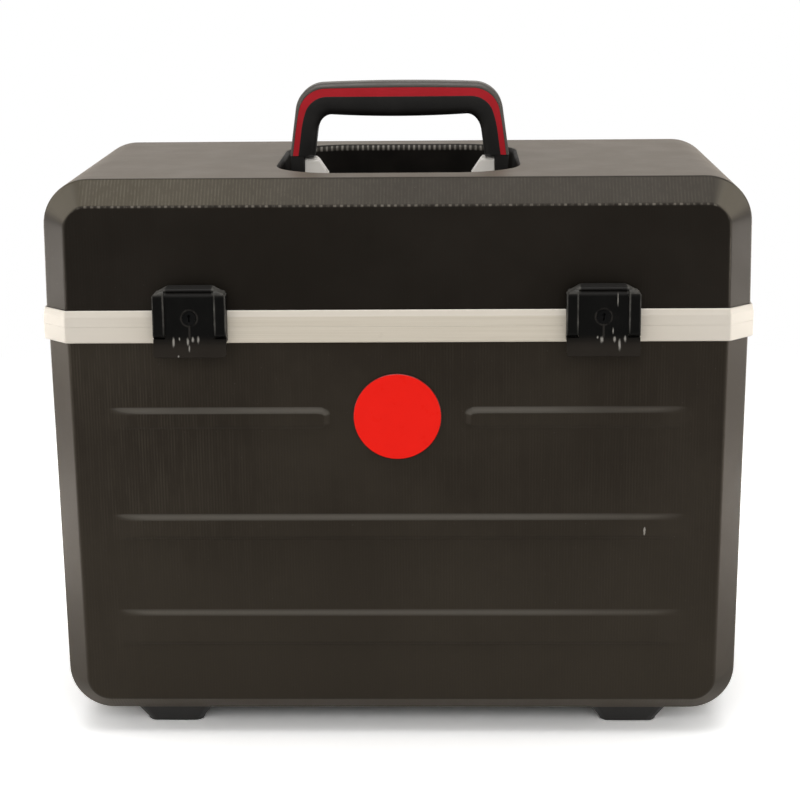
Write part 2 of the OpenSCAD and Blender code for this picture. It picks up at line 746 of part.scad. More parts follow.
// Housing on the lid: two cheeks, the back plate between them and the roof over the lever's barrel
module latch_housing(side) {
    half = latch_w / 2;
    inner = lever_w / 2 + side_gap;
    at_case() latch_place(side) difference() {
        union() {
            for (s = [-1, 1]) {
                x = s > 0 ? inner : -half;
                along_x(x, x + half - inner) cheek_section();
            }
            translate([-inner - cut, -plate_t, seam_gap * 2])
                cube([2 * (inner + cut), plate_t, latch_top - 3]);
            along_x(-inner - 2, inner + 2) polygon([
                [0, latch_top - 3.4], [0, latch_top], [lever_y + 2, latch_top],
                [0.6 - roof_out, latch_top - 1.2], [-roof_out, latch_top - 1.8], [-roof_out, latch_top - 2.6],
                [lever_y + 2, latch_top - 2.6], [-plate_t, latch_top - 3.4]
            ]);
            for (s = [-1, 1]) translate([s > 0 ? inner : -half, -tail_out, -cheek_drop - tail_h])
                cube([half - inner, tail_out, tail_h + 1]);
            translate([-half + 1, 0, frame_h + seat_gap])
                cube([latch_w - 2, lid_inset, latch_top - frame_h - seat_gap - 4]);
            key_keeper();
        }
        translate([-half - cut, -side_gap, -lip_drop])
            cube([latch_w + 2 * cut, side_gap + cut, lip_drop + side_gap]);
        for (s = [-1, 1]) along_y(-cheek_out - cut, lid_inset + cut) polygon([
            [s * roof_half, latch_top], [s * (half - 1.5), latch_top - shoulder * 0.75],
            [s * half, latch_top - shoulder], [s * (half + cut), latch_top - shoulder],
            [s * (half + cut), latch_top + cut], [s * roof_half, latch_top + cut]
        ]);
        translate([0, lever_y, lever_pivot]) bar_x(-half - cut, half + cut, lever_pin_r + run_gap);
        housing_rivet_places() bar_y(-plate_t - cut, lid_inset + cut, rivet_r + run_gap);
    }
}

key_front = -(lever_out + 0.4);
key_back = -4.6;                          // back end of the cylinder, where its cam starts
cam_t = 1.2;
cam_reach = 10.5;
cam_w = 5;

// Hook behind which the lock's cam turns
module key_keeper() {
    x = cam_reach + 0.8;
    translate([x, key_back - side_gap, key_up - 2.5]) cube([1.6, -key_back + side_gap - plate_t / 2, 5]);
    translate([x - 4, key_back - side_gap - 1.2, key_up - 2.5]) cube([5.6, 1.2, 5]);
}

module latch_housing_left() {
    color([0.08, 0.08, 0.08]) latch_housing(-1);
}

module latch_housing_right() {
    color([0.08, 0.08, 0.08]) latch_housing(1);
}

module latch_rivets() {
    color([0.50, 0.50, 0.52]) at_case() latch_places() {
        frame_rivet_places() translate([0, -plate_t, 0]) rotate([-90, 0, 0])
            rivet(rivet_r, plate_t + rivet_depth_lid + tip, rivet_head_r * 0.8, rivet_head_t);
        both_sides(housing_rivet_x[1]) translate([0, -plate_t, shell_rivet_z]) rotate([-90, 0, 0])
            rivet(rivet_r, plate_t + lid_inset + wall + tip, rivet_head_r * 0.8, rivet_head_t);
    }
}

module latch_pin(side) {
    at_case() latch_place(side) translate([0, lever_y, lever_pivot])
        bar_x(0.4 - latch_w / 2, latch_w / 2 - 0.4, lever_pin_r);
}

module latch_pin_left() {
    color([0.45, 0.45, 0.46]) latch_pin(-1);
}

module latch_pin_right() {
    color([0.45, 0.45, 0.46]) latch_pin(1);
}

// Outline of the lip's front view, with rounded lower corners
module lip_outline() {
    hull() {
        translate([-latch_w / 2, lip_top - 1]) square([latch_w, 1]);
        both_sides(latch_w / 2 - 3) translate([0, -lip_drop + 3]) circle(r = 3, $fn = 32);
    }
}

// Lever: a plate that hangs from the pin, side flanges and the flared lip under the cheeks
module latch_lever(side) {
    half = lever_w / 2;
    back = lever_t - lever_out;
    at_case() latch_place(side) difference() {
        union() {
            translate([0, lever_y, lever_pivot]) bar_x(-half, half, lever_barrel_r);
            translate([-half, -lever_out, lip_top - 1]) cube([lever_w, lever_t, lever_pivot - lip_top + 1]);
            for (s = [-1, 1]) translate([s > 0 ? half - 1.5 : -half, back - cut, -3])
                cube([1.5, -back - plate_t - 1.2 + cut, lever_pivot - 3]);
            intersection() {
                along_y(-latch_reach, -plate_t) lip_outline();
                along_x(-latch_w / 2, latch_w / 2) polygon([
                    [back, lip_top], [-lever_out, lip_top], [-lever_out - 0.6, lip_top - 3],
                    [-latch_reach + 0.4, -lip_drop + 2], [-latch_reach, -lip_drop + 0.8],
                    [-latch_reach + 0.8, -lip_drop], [lever_t - latch_reach, -lip_drop + 0.6],
                    [back - 0.6, lip_top - 3.4]
                ]);
            }
            translate([0, 0, key_up]) bar_y(back - cut, key_back - side_gap, key_r + 1.5);
        }
        translate([0, lever_y, lever_pivot]) bar_x(-half - cut, half + cut, lever_pin_r + run_gap);
        translate([0, 0, key_up]) bar_y(-latch_reach, 0, key_r + run_gap);
    }
}

module latch_lever_left() {
    color([0.07, 0.07, 0.07]) latch_lever(-1);
}

module latch_lever_right() {
    color([0.07, 0.07, 0.07]) latch_lever(1);
}

// Steel hook behind the lever, which catches under the strike's ledge
module latch_claw(side) {
    back = lever_t - lever_out;
    hook_top = -ledge_drop - side_gap;
    at_case() latch_place(side) along_x(-claw_w / 2, claw_w / 2) polygon([
        [back, 1], [back + claw_t, 1], [back + claw_t, hook_top], [-strike_t - 0.6, hook_top],
        [-strike_t - 0.6, hook_top - hook_t], [back, hook_top - hook_t]
    ]);
}

module latch_claw_left() {
    color([0.62, 0.62, 0.63]) latch_claw(-1);
}

module latch_claw_right() {
    color([0.62, 0.62, 0.63]) latch_claw(1);
}

// Key cylinder with an upright keyway in its face and a cam at its back
module key_cylinder(side) {
    at_case() latch_place(side) translate([0, 0, key_up]) difference() {
        union() {
            bar_y(key_front, key_back, key_r);
            translate([-cam_w / 2, key_back, -cam_reach + cam_w / 2])
                cube([cam_w, cam_t, cam_reach - cam_w / 2]);
            translate([0, key_back, 0]) rotate([-90, 0, 0]) cylinder(h = cam_t, r = cam_w / 2 + 0.8);
            translate([0, key_back, -cam_reach + cam_w / 2]) rotate([-90, 0, 0])
                cylinder(h = cam_t, r = cam_w / 2);
        }
        translate([-0.5, key_front - cut, -2.6]) cube([1, 3 + cut, 4]);
        translate([0, 0, 1.6]) bar_y(key_front - cut, key_front + 3, 1.1);
    }
}

module key_cylinder_left() {
    color([0.16, 0.16, 0.16]) key_cylinder(-1);
}

module key_cylinder_right() {
    color([0.16, 0.16, 0.16]) key_cylinder(1);
}

// Handle

// Places the children at the pivot axis
module at_pivot() {
    at_case() translate([0, recess_y, pivot_z]) children();
}

arm_low = pivot_drop + 2.8;               // lower end of the arms, above the pivot axis
corner_in_r = [10.6, 14.5];               // half axes of the rounding inside the grip's corners
corner_out_r = 21.5;
top_out = pivot_drop + handle_rise;       // outer side of the grip at its middle
top_in = top_out - grip_t;
arch = 1;                                 // rise of the grip's outer side from corner to middle
sag = 1.5;                                // fall of its inner side from corner to middle
turn_in = atan(arm_lean * corner_in_r[1] / corner_in_r[0]);   // angles at which the bends leave the arms
turn_out = atan(arm_lean);
line_start = top_in + sag - corner_in_r[1] * (1 - sin(turn_in));    // heights at which the bends start
line_end = top_out - arch - corner_out_r * (1 - sin(turn_out));
line_part = 0.42;                         // share of the outer bend that is still straight
thin = 0.32;                              // how much closer to the outside the layers lie in the arms

function outer_x(v) = handle_w - (v - pivot_drop) * arm_lean;
function inner_x(v) = hand_w - (v - pivot_drop) * arm_lean;

corner_in = [inner_x(line_start) - corner_in_r[0] * cos(turn_in), top_in + sag - corner_in_r[1]];
corner_out = [outer_x(line_end) - corner_out_r * cos(turn_out), top_out - arch - corner_out_r];

// Outer and inner side of the handle's right arm and corner, t from 0 at the arm to 1 at the grip
function bend_in(t) = let (a = turn_in + (90 - turn_in) * t)
    [corner_in[0] + corner_in_r[0] * cos(a), corner_in[1] + corner_in_r[1] * sin(a)];

function bend_out(t) = t < line_part
    ? let (v = line_start + (line_end - line_start) * t / line_part) [outer_x(v), v]
    : let (a = turn_out + (90 - turn_out) * (t - line_part) / (1 - line_part))
        [corner_out[0] + corner_out_r * cos(a), corner_out[1] + corner_out_r * sin(a)];

// Stations along the right half: [outer point, inner point, how much of it is arm]
half_stations = [
    for (s = [0:2]) let (v = arm_low + (line_start - arm_low) * s / 3) [[outer_x(v), v], [inner_x(v), v], 1],
    for (s = [0:16]) [bend_out(s / 16), bend_in(s / 16), (1 + cos(180 * s / 16)) / 2],
    for (s = [1:3]) let (k = 1 - s / 3)
        [[corner_out[0] * k, top_out - arch * k * k], [corner_in[0] * k, top_in + sag * k * k], 0]
];

stations = concat(
    half_stations,
    [for (i = [len(half_stations) - 2:-1:0]) let (st = half_stations[i])
        [[-st[0][0], st[0][1]], [-st[1][0], st[1][1]], st[2]]]
);

// Layer of the handle; its section is a list of [share of the thickness, share of the half width]
module handle_layer(section) {
    profile = concat(section, [for (i = [len(section) - 1:-1:0]) [section[i][0], -section[i][1]]]);
    loft([for (st = stations) [for (p = profile)
        let (q = st[0] + (st[1] - st[0]) * p[0] * (1 - thin * st[2] * (1 - p[0])))
        [q[0], p[1] * grip_d / 2, q[1]]]]);
}

module heel(side) {
    mirror([side > 0 ? 0 : 1, 0, 0]) {
        along_y(-grip_d / 2 + 0.5, grip_d / 2 - 0.5) polygon([
            [inner_x(arm_low) + 0.2, arm_low], [inner_x(arm_low) + 0.2, heel_step],
            [heel_in, heel_step], [heel_in, 0],
            [heel_in + heel_t, 0], [outer_x(arm_low) - 0.4, arm_low]
        ]);
        bar_x(heel_in, heel_in + heel_t, heel_r);
    }
}

// Outer frame of the handle, with a heel on each pivot
module handle_frame() {
    color([0.20, 0.19, 0.18]) at_pivot() difference() {
        union() {
            handle_layer([[0, 0.66], [0.03, 0.82], [0.09, 0.94], [cap_share, 1]]);
            heel(-1);
            heel(1);
        }
        bar_x(-case_w / 2, case_w / 2, pivot_r + run_gap);
    }
}

module handle_band() {
    color([0.80, 0.06, 0.08]) at_pivot() handle_layer([[cap_share, 0.985], [band_share, 0.985]]);
}

module handle_grip() {
    color([0.09, 0.09, 0.09]) at_pivot()
        handle_layer([[band_share, 1], [0.82, 0.98], [0.94, 0.86], [1, 0.62]]);
}

lug_out = heel_in - lug_gap;              // outer face of a lug
lug_d = 8;                                // half the width of a lug
flange_d = 12;                            // half the width of a bracket's flange
lug_top = heel_step - side_gap;           // radius of a lug's round top
lug_crown = 8.4;                          // length of that top
lug_length = 16.8;                        // length of a lug at the height of the axis
lug_back = lug_out - lug_crown;
lug_foot = lug_out - lug_length;
flange_length = 32.6;
flange_out = lug_out + 7;                 // outer end of a bracket's flange
flange_in = flange_out - flange_length;
pin_length = 14;                          // how far a pivot pin reaches into its lug

module handle_bracket(side) {
    base = -(recess_h - pivot_drop);
    mirror([side > 0 ? 0 : 1, 0, 0]) difference() {
        union() {
            intersection() {
                along_y(-lug_d, lug_d) polygon([
                    [lug_out, base], [lug_out, lug_top], [lug_back, lug_top], [lug_foot, 0], [lug_foot, base]
                ]);
                union() {
                    bar_x(flange_in, lug_out, lug_top);
                    translate([0, -lug_d, base]) cube([lug_out, 2 * lug_d, -base]);
                }
            }
            translate([flange_in, -flange_d, base]) cube([flange_length, 2 * flange_d, flange_t]);
        }
        bar_x(0, lug_out + cut, pivot_r + run_gap);
        for (x = bracket_screw_x) translate([x, 0, base - cut])
            cylinder(h = flange_t + 2 * cut, r = bracket_screw_r + run_gap);
    }
}

module handle_brackets() {
    color([0.90, 0.89, 0.86]) at_pivot() {
        handle_bracket(-1);
        handle_bracket(1);
    }
}

module handle_pins() {
    color([0.70, 0.70, 0.71]) at_pivot() {
        bar_x(lug_out - pin_length, heel_in + heel_t, pivot_r);
        bar_x(-heel_in - heel_t, pin_length - lug_out, pivot_r);
    }
}

// Places of the bracket screws, on the recess's floor
module bracket_screw_places() {
    translate([0, recess_y, top_z - recess_h])
        for (side = [-1, 1], x = bracket_screw_x) translate([side * x, 0, 0]) children();
}

module bracket_screws() {
    depth = wall + plate_under_t + nut_t;
    color([0.72, 0.72, 0.73]) at_case() bracket_screw_places() {
        translate([0, 0, flange_t]) rotate([180, 0, 0])
            rivet(bracket_screw_r, depth + flange_t + tip, bracket_head_r, bracket_head_t);
        translate([0, 0, -depth]) difference() {
            cylinder(h = nut_t, r = bracket_nut_r, $fn = 6);
            translate([0, 0, -cut]) cylinder(h = nut_t + 2 * cut, r = bracket_screw_r);
        }
    }
}

// Steel plate under the recess, which spreads the handle's load
module handle_plate() {
    w = bracket_screw_x[1] + plate_edge;
    color([0.68, 0.68, 0.70]) at_case() difference() {
        translate([0, recess_y, top_z - recess_h - wall - plate_under_t]) linear_extrude(plate_under_t)
            hull() for (sx = [-1, 1], sy = [-1, 1])
                translate([sx * (w - plate_r), sy * (plate_half_d - plate_r)]) circle(r = plate_r, $fn = 32);
        bracket_screw_places() translate([0, 0, -wall - plate_under_t - cut])
            cylinder(h = plate_under_t + 2 * cut, r = bracket_screw_r + run_gap);
    }
}

lower_shell();
lower_frame();
front_disc();
feet();
foot_screws();
bottom_tray();
long_divider();
cross_dividers();
latch_strikes();
strike_rivets();
hinge_leaves_lower();
hinge_pins();
hinge_rivets_lower();
lid_shell();
lid_frame();
lid_seal();
hinge_leaves_lid();
hinge_rivets_lid();
handle_brackets();
handle_pins();
bracket_screws();
handle_plate();
latch_housing_left();
latch_housing_right();
latch_rivets();
latch_pin_left();
latch_pin_right();
handle_frame();
handle_band();
handle_grip();
latch_lever_left();
latch_claw_left();
latch_lever_right();
latch_claw_right();
key_cylinder_left();
key_cylinder_right();
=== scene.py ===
"""Looks of the hard tool case: shells, frame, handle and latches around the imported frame."""

import json
import math
from functools import cached_property

import bmesh
import bpy
import numpy as np
from mathutils import Matrix, Vector


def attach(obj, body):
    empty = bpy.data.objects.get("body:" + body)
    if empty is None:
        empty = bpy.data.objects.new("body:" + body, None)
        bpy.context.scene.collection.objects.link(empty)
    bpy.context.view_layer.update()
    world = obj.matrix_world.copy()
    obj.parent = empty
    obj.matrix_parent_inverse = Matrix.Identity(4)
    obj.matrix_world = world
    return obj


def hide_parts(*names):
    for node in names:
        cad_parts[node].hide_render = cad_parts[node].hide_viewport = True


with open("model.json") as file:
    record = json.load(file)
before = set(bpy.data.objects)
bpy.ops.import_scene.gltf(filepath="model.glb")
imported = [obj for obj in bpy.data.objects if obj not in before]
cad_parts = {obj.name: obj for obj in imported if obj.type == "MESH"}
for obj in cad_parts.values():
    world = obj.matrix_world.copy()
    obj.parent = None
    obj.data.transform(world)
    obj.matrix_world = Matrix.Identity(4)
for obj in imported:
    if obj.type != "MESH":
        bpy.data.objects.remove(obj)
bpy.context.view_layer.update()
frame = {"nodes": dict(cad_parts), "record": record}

nodes = frame["nodes"]

MM = 0.001
TAN = math.tan(math.radians(0.5))       # draft of the shells
LEAN = 2 - math.sqrt(2)                 # how much a 45 degree corner shortens for each unit of inset

# Sizes of the case in millimetres, as in the CAD model
CASE_W, CASE_D = 493, 270
CASE_Y = 3.55                           # the case's middle in Y
SEAM_Z, TOP_Z = 301.5, 401.5
LOWER_H, LID_H = 287.5, 100
LOWER_INSET, LID_INSET = 3.2, 2.2       # how far the shells stand behind the frame's face
LOWER_OPEN, LID_OPEN = 2.9, 4.9         # the shells' open edges, from the seam
CORNER_CUT = 18                         # corner folds in plan, and depth of the slopes at a shell's end
LOWER_END_CUT, LID_END_CUT = 13, 17     # how far the front and back faces end short of the flat end
CORNER_R = 32                           # corners of the front's outline
OUTER_FOLD, INNER_FOLD = 4, 2           # roundings of the folds between the faces
WALL = 3
RECESS_W, RECESS_L, RECESS_R, RECESS_DEPTH = 170, 174, 45, 28
RECESS_RIM_R, RECESS_FLOOR_R = 4, 5
RECESS_DRAFT = 3                        # degrees
PIVOT_Z = 390.5
DISC_DOWN, DISC_R = 64.5, 30.6          # the disc's middle below the seam, and its radius
LATCH_X, LATCH_FRONT_Y = 141, -140
CHEEK_IN, CHEEK_OUT = 17.4, 24.6        # edges of a latch's cheeks, from its middle
KEY_UP, ROOF_UP = 8.3, 22.5             # key cylinder and roof of a latch over the seam

# Camera and lamps in metres and degrees, the focal length in pixels of the photo
IMAGE_W, FOCAL = 800, 2009.908
SENSOR_W = 36                           # millimetres
CAMERA_AT = (0.03764, -1.48211, 0.5753)
CAMERA_DOWN, CAMERA_YAW, CAMERA_ROLL = 13.552, -1.511, -0.534
MIDDLE = (0, 0, 0.22)                   # what the lamps aim at
WARM = (1, 0.95, 0.89)


# Camera

def make_camera():
    cam = bpy.data.cameras.new("camera")
    cam.sensor_width = SENSOR_W
    cam.lens = FOCAL * SENSOR_W / IMAGE_W
    obj = bpy.data.objects.new("camera", cam)
    bpy.context.scene.collection.objects.link(obj)
    down, yaw, roll = (math.radians(a) for a in (CAMERA_DOWN, CAMERA_YAW, CAMERA_ROLL))
    look = Vector((math.sin(yaw) * math.cos(down), math.cos(yaw) * math.cos(down), -math.sin(down)))
    right = Vector((math.cos(yaw), -math.sin(yaw), 0))
    up = right.cross(look)
    right, up = right * math.cos(roll) + up * math.sin(roll), up * math.cos(roll) - right * math.sin(roll)
    turn = Matrix((right, up, -look)).transposed()
    obj.matrix_world = Matrix.Translation(CAMERA_AT) @ turn.to_4x4()
    cam.clip_start, cam.clip_end = 0.05, 60
    bpy.context.scene.camera = obj


make_camera()


# Mesh helpers

def add_mesh(name, surface, body, slot, replaced=(), material=None, smooth_angle=30):
    """New piece from a surface, in its slot's material, smooth but for edges sharper than smooth_angle."""
    mesh = bpy.data.meshes.new(name)
    mesh.from_pydata((surface.all_points() * MM).tolist(), [], [list(map(int, f)) for f in surface.faces])
    mesh.validate()
    bm = bmesh.new()
    bm.from_mesh(mesh)
    bmesh.ops.remove_doubles(bm, verts=bm.verts, dist=1e-6)
    bmesh.ops.recalc_face_normals(bm, faces=bm.faces)
    bm.to_mesh(mesh)
    bm.free()
    mesh.shade_smooth()
    mesh.set_sharp_from_angle(angle=math.radians(smooth_angle))
    mesh.materials.append(material or FINISH[slot])
    obj = bpy.data.objects.new(name, mesh)
    bpy.context.scene.collection.objects.link(obj)
    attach(obj, body)
    if replaced:
        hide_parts(*replaced)
    return obj


def weighted(obj):
    """Flat faces keep their own normal where they meet a rounding."""
    mod = obj.modifiers.new("weighted", "WEIGHTED_NORMAL")
    mod.keep_sharp = True
    mod.weight = 100
    return obj


def bevel(obj, width, segments=2):
    """Rounded edges on a piece or a CAD node, width in millimetres."""
    weld = obj.modifiers.new("weld", "WELD")
    weld.merge_threshold = 2e-6
    mod = obj.modifiers.new("bevel", "BEVEL")
    mod.width = width * MM
    mod.segments = segments
    mod.limit_method = "ANGLE"
    mod.angle_limit = math.radians(35)
    mod.use_clamp_overlap = True
    mod.miter_outer = "MITER_ARC"
    return weighted(obj)


class Surface:
    """Collects vertices, in millimetres, and faces of one mesh."""

    def __init__(self):
        self.points, self.faces, self.count = [], [], 0

    def add(self, pts):
        pts = np.asarray(pts, float).reshape(-1, 3)
        start = self.count
        self.points.append(pts)
        self.count += len(pts)
        return np.arange(start, self.count)

    def strip(self, a, b, closed=False):
        """Quads between two index rows of equal length."""
        n = len(a)
        for k in range(n if closed else n - 1):
            j = (k + 1) % n
            self.faces.append((a[k], a[j], b[j], b[k]))

    def all_points(self):
        return np.concatenate(self.points)


# Shells

def fold_path(c, r, n):
    """Fold between the front face and a side, as (inset from the side, depth behind the front)."""
    t = r * math.tan(math.radians(22.5))
    first = [(c + t - r * math.sin(a), r - r * math.cos(a)) for a in np.radians(np.linspace(0, 45, n))]
    second = [(r - r * math.sin(a), c + t - r * math.cos(a)) for a in np.radians(np.linspace(45, 90, n))]
    return first + second


RIBS = [(57.5, 17), (135, 20), (206, 28)]    # upper edge below the parting line, height
RIB_REACH, RIB_GAP = 206, 46.5               # outer ends, and inner ends beside the disc
RIB_RUN, RIB_BEVEL = 26, 4.5                 # length of the slopes at the outer ends, and of the bevels
RIB_PROUD, RIB_R = 2.4, 8
HALVINGS = 14


def rib_height(x, down, gap):
    """How far the ribs stand out at the points (x, down) of a face, with the top rib parted by a gap.

    A rib's outline shrinks from its foot, step 0, to its flat top, step 1. Halving finds each point's step.
    """
    out = np.zeros_like(x)
    spans = []
    for i, (drop, height) in enumerate(RIBS):
        if i == 0 and gap:
            spans += [(gap, RIB_REACH, drop, height, RIB_BEVEL, RIB_RUN),
                      (-RIB_REACH, -gap, drop, height, RIB_RUN, RIB_BEVEL)]
        else:
            spans.append((-RIB_REACH, RIB_REACH, drop, height, RIB_RUN, RIB_RUN))
    for x0, x1, drop, height, run0, run1 in spans:
        low, high = np.zeros_like(x), np.ones_like(x)

        def inside(step):
            w = (x1 - x0 - step * (run0 + run1)) / 2
            h = height / 2 - step * RIB_BEVEL
            r = np.minimum(h, RIB_R * (1 - step / 2)) - 0.1
            px = np.abs(x - ((x0 + x1 + step * (run0 - run1)) / 2)) - (w - r)
            pz = np.abs(down - drop - height / 2) - (h - r)
            return np.hypot(np.maximum(px, 0), np.maximum(pz, 0)) + np.minimum(np.maximum(px, pz), 0) <= r

        reach = inside(low)
        for _ in range(HALVINGS):
            mid = (low + high) / 2
            ok = inside(mid)
            low, high = np.where(ok, mid, low), np.where(ok, high, mid)
        step = np.where(inside(np.ones_like(x)), 1, low)
        out = np.maximum(out, np.where(reach, RIB_PROUD * (1 - np.cos(np.pi * step)) / 2, 0))
    return out


def rows_for(h_open, h_arc, ribbed):
    """Heights of the mesh rows on a face, closer together across the ribs."""
    margin, least = 0.6, 0.3
    rows = list(np.linspace(h_open, h_arc, 22))
    if ribbed:
        for drop, height in RIBS:
            for edge in (drop, drop + height - RIB_BEVEL):
                rows += list(np.linspace(edge - margin, edge + RIB_BEVEL + margin, 12))
    rows = sorted(r for r in rows if h_open - 1e-6 <= r <= h_arc + 1e-6)
    kept = [rows[0]]
    for r in rows[1:]:
        if r - kept[-1] > least:
            kept.append(r)
    kept[-1] = h_arc
    return np.array(kept)


def columns_for(ribbed):
    """Mesh columns on a face, as shares of its half width, closer at the inner ends of the top rib."""
    face_half_w = 225
    t = list(np.linspace(-1, 1, 97))
    if ribbed:
        for beyond in (-1, 0, 2, 4, 6, 8):
            t += [(RIB_GAP + beyond) / face_half_w, -(RIB_GAP + beyond) / face_half_w]
    return np.array(sorted(set(np.round(t, 6))))


def slid(ring, f):
    """A front ring moved towards its mirror image behind the case's middle."""
    return [(x, y * (1 - 2 * f), h) for x, y, h in ring]


def shell_surface(s, inset, end_cut, h_open, h_end, r_end, r_fold, place, ribbed=False, split_top=False):
    """Adds one skin of a shell to the surface s.

    Heights h run from the seam to the shell's end. In a ring, p is the inset from the side and d the depth
    behind the front. Returns the open edge and, if split_top leaves out the flat end, the edge round it.
    """
    c = CORNER_CUT - inset * LEAN
    path = fold_path(c, r_fold, 7)
    p0 = path[0][0]
    ring_h_arc = h_end - p0 * end_cut / c - (r_end - p0)
    rows = rows_for(h_open, ring_h_arc, ribbed)
    share = (rows - h_open) / (ring_h_arc - h_open)
    arcs = np.radians(np.linspace(0, 90, 17))[1:]
    cols = columns_for(ribbed)

    def outline(p):
        """(half width, height) of each row at inset p from the side."""
        hw, he, r = CASE_W / 2 - inset - p, h_end - p * end_cut / c, r_end - p
        cx = hw - (he - r) * TAN - r
        x0, h0 = hw - h_open * TAN, h_open
        side = [(x0 + (cx + r - x0) * f, h0 + (he - r - h0) * f) for f in share]
        return side + [(cx + r * math.cos(a), he - r + r * math.sin(a)) for a in arcs]

    def ring(p, d, side):
        """Points round one ring: left side from the open edge down, the end, and up the right side."""
        rim = outline(p)
        hw, he = rim[-1]
        end = [(t * hw, he) for t in cols[1:-1]]
        pts = [(-w, h) for w, h in rim] + end + [(w, h) for w, h in rim[::-1]]
        return [(x, side * (CASE_D / 2 - inset - d - h * TAN), h) for x, h in pts]

    n_rim = len(share) + len(arcs)
    loops, caps = [], []
    for side in (-1, 1):
        grid = []
        for w, h in outline(p0):
            x = cols * w
            y = np.full_like(x, CASE_D / 2 - inset - h * TAN)
            if ribbed:
                y = y + rib_height(x, np.full_like(x, h), RIB_GAP if side < 0 else 0)
            grid.append(s.add(place(np.column_stack([x, side * y, np.full_like(x, h)]))))
        for a, b in zip(grid, grid[1:]):
            s.strip(a, b)
        left = [g[0] for g in grid]
        right = [g[-1] for g in grid]
        edge = np.array(left + list(grid[-1][1:-1]) + right[::-1])
        caps.append(grid[0])
        loops.append([edge] + [s.add(place(ring(p, d, side))) for p, d in path[1:]])
    front, back = loops
    middle = [s.add(place(slid(ring(0, path[-1][1], -1), f))) for f in np.linspace(0, 1, 25)[1:-1]]
    rings = front + middle + back[::-1]
    first_mid, last_mid = len(front) - 1, len(front) + len(middle)
    n_cols = len(cols)
    for j, (a, b) in enumerate(zip(rings, rings[1:])):
        if split_top and first_mid <= j < last_mid:
            s.strip(a[:n_rim], b[:n_rim])
            s.strip(a[-n_rim:], b[-n_rim:])
        else:
            s.strip(a, b)
    between = rings[1:-1]
    left, right = [r[0] for r in between], [r[-1] for r in between]
    open_edge = np.array(list(caps[0][::-1]) + left + list(caps[1]) + right[::-1])
    if not split_top:
        return open_edge, None
    flat = [r[n_rim - 1:n_rim - 1 + n_cols] for r in rings[first_mid:last_mid + 1]]
    left, right = [f[0] for f in flat[1:-1]], [f[-1] for f in flat[1:-1]]
    return open_edge, list(flat[0]) + right + list(flat[-1][::-1]) + left[::-1]


def lower_place(p):
    """From (x, y, height below the seam) to the case's frame."""
    p = np.asarray(p, float)
    return np.column_stack([p[:, 0], p[:, 1] + CASE_Y, SEAM_Z - p[:, 2]])


def lid_place(p):
    """From (x, y, height above the seam) to the case's frame."""
    p = np.asarray(p, float)
    return np.column_stack([p[:, 0], p[:, 1] + CASE_Y, SEAM_Z + p[:, 2]])


def rim_join(s, outer, inner):
    """Closes a shell's open edge between its outer and inner skin, which may differ in points."""
    pts = s.all_points()
    a, b = list(outer), list(inner)
    mid = pts[a].mean(axis=0)

    def angle(i):
        return math.atan2(pts[i][1] - mid[1], (pts[i][0] - mid[0]) * CASE_D / CASE_W)

    a.sort(key=angle)
    b.sort(key=angle)
    i = j = 0
    while i < len(a) or j < len(b):
        next_a = angle(a[i + 1]) if i + 1 < len(a) else math.inf if i >= len(a) else math.pi
        next_b = angle(b[j + 1]) if j + 1 < len(b) else math.inf if j >= len(b) else math.pi
        if i < len(a) and (next_a <= next_b or j >= len(b)):
            s.faces.append((a[i], a[(i + 1) % len(a)], b[j % len(b)]))
            i += 1
        else:
            s.faces.append((a[i % len(a)], b[(j + 1) % len(b)], b[j]))
            j += 1


def shell_skins(s, inset, end_cut, h_open, h_end, place, ribbed=False, split_top=False):
    """Both skins of a shell, joined along its open edge. Returns the edges round their flat ends."""
    outer, top = shell_surface(s, inset, end_cut, h_open, h_end, CORNER_R, OUTER_FOLD, place,
                               ribbed, split_top)
    inner, roof = shell_surface(s, inset + WALL, end_cut - WALL * LEAN, h_open, h_end - WALL, CORNER_R - WALL,
                                INNER_FOLD, place, False, split_top)
    rim_join(s, outer, inner)
    return top, roof


def make_lower_shell():
    s = Surface()
    shell_skins(s, LOWER_INSET, LOWER_END_CUT, LOWER_OPEN, LOWER_H, lower_place, ribbed=True)
    weighted(add_mesh("lower_shell_skin", s, "base", "shell_plastic", ["lower_shell"]))


def rounded_loop(angles, w, l, r):
    """Where rays at these angles meet a rounded rectangle with half sizes w and l."""
    out = []
    for a in angles:
        ca, sa = math.cos(a), math.sin(a)
        k = min(w / abs(ca) if abs(ca) > 1e-9 else math.inf, l / abs(sa) if abs(sa) > 1e-9 else math.inf)
        x, y = abs(ca) * k, abs(sa) * k
        cx, cy = w - r, l - r
        if x > cx and y > cy:
            b = -(abs(ca) * cx + abs(sa) * cy)
            q = cx * cx + cy * cy - r * r
            k = -b + math.sqrt(max(b * b - q, 0))
        out.append((ca * k, sa * k))
    return np.array(out)


def recess_levels(grow, rim_r, z_top):
    """Rings of a skin of the recess, from the rim to the floor, as (inset, height over the case's top)."""
    floor_r = RECESS_FLOOR_R - grow
    depth = RECESS_DEPTH + grow
    slant = math.tan(math.radians(RECESS_DRAFT))
    foot = slant * (depth - floor_r)
    if rim_r:
        turn = np.radians(np.linspace(0, 90, 9))
        levels = [(-rim_r * (1 - math.sin(a)), -rim_r * (1 - math.cos(a))) for a in turn]
    else:
        levels = [(slant * z_top, z_top)]
    levels += [(foot * f, (floor_r - depth) * f - rim_r * (1 - f)) for f in (0.33, 0.66)]
    levels += [(foot + floor_r * (1 - math.cos(a)), -depth + floor_r * (1 - math.sin(a)))
               for a in np.radians(np.linspace(0, 90, 8))]
    return [(inset - grow, z) for inset, z in levels]


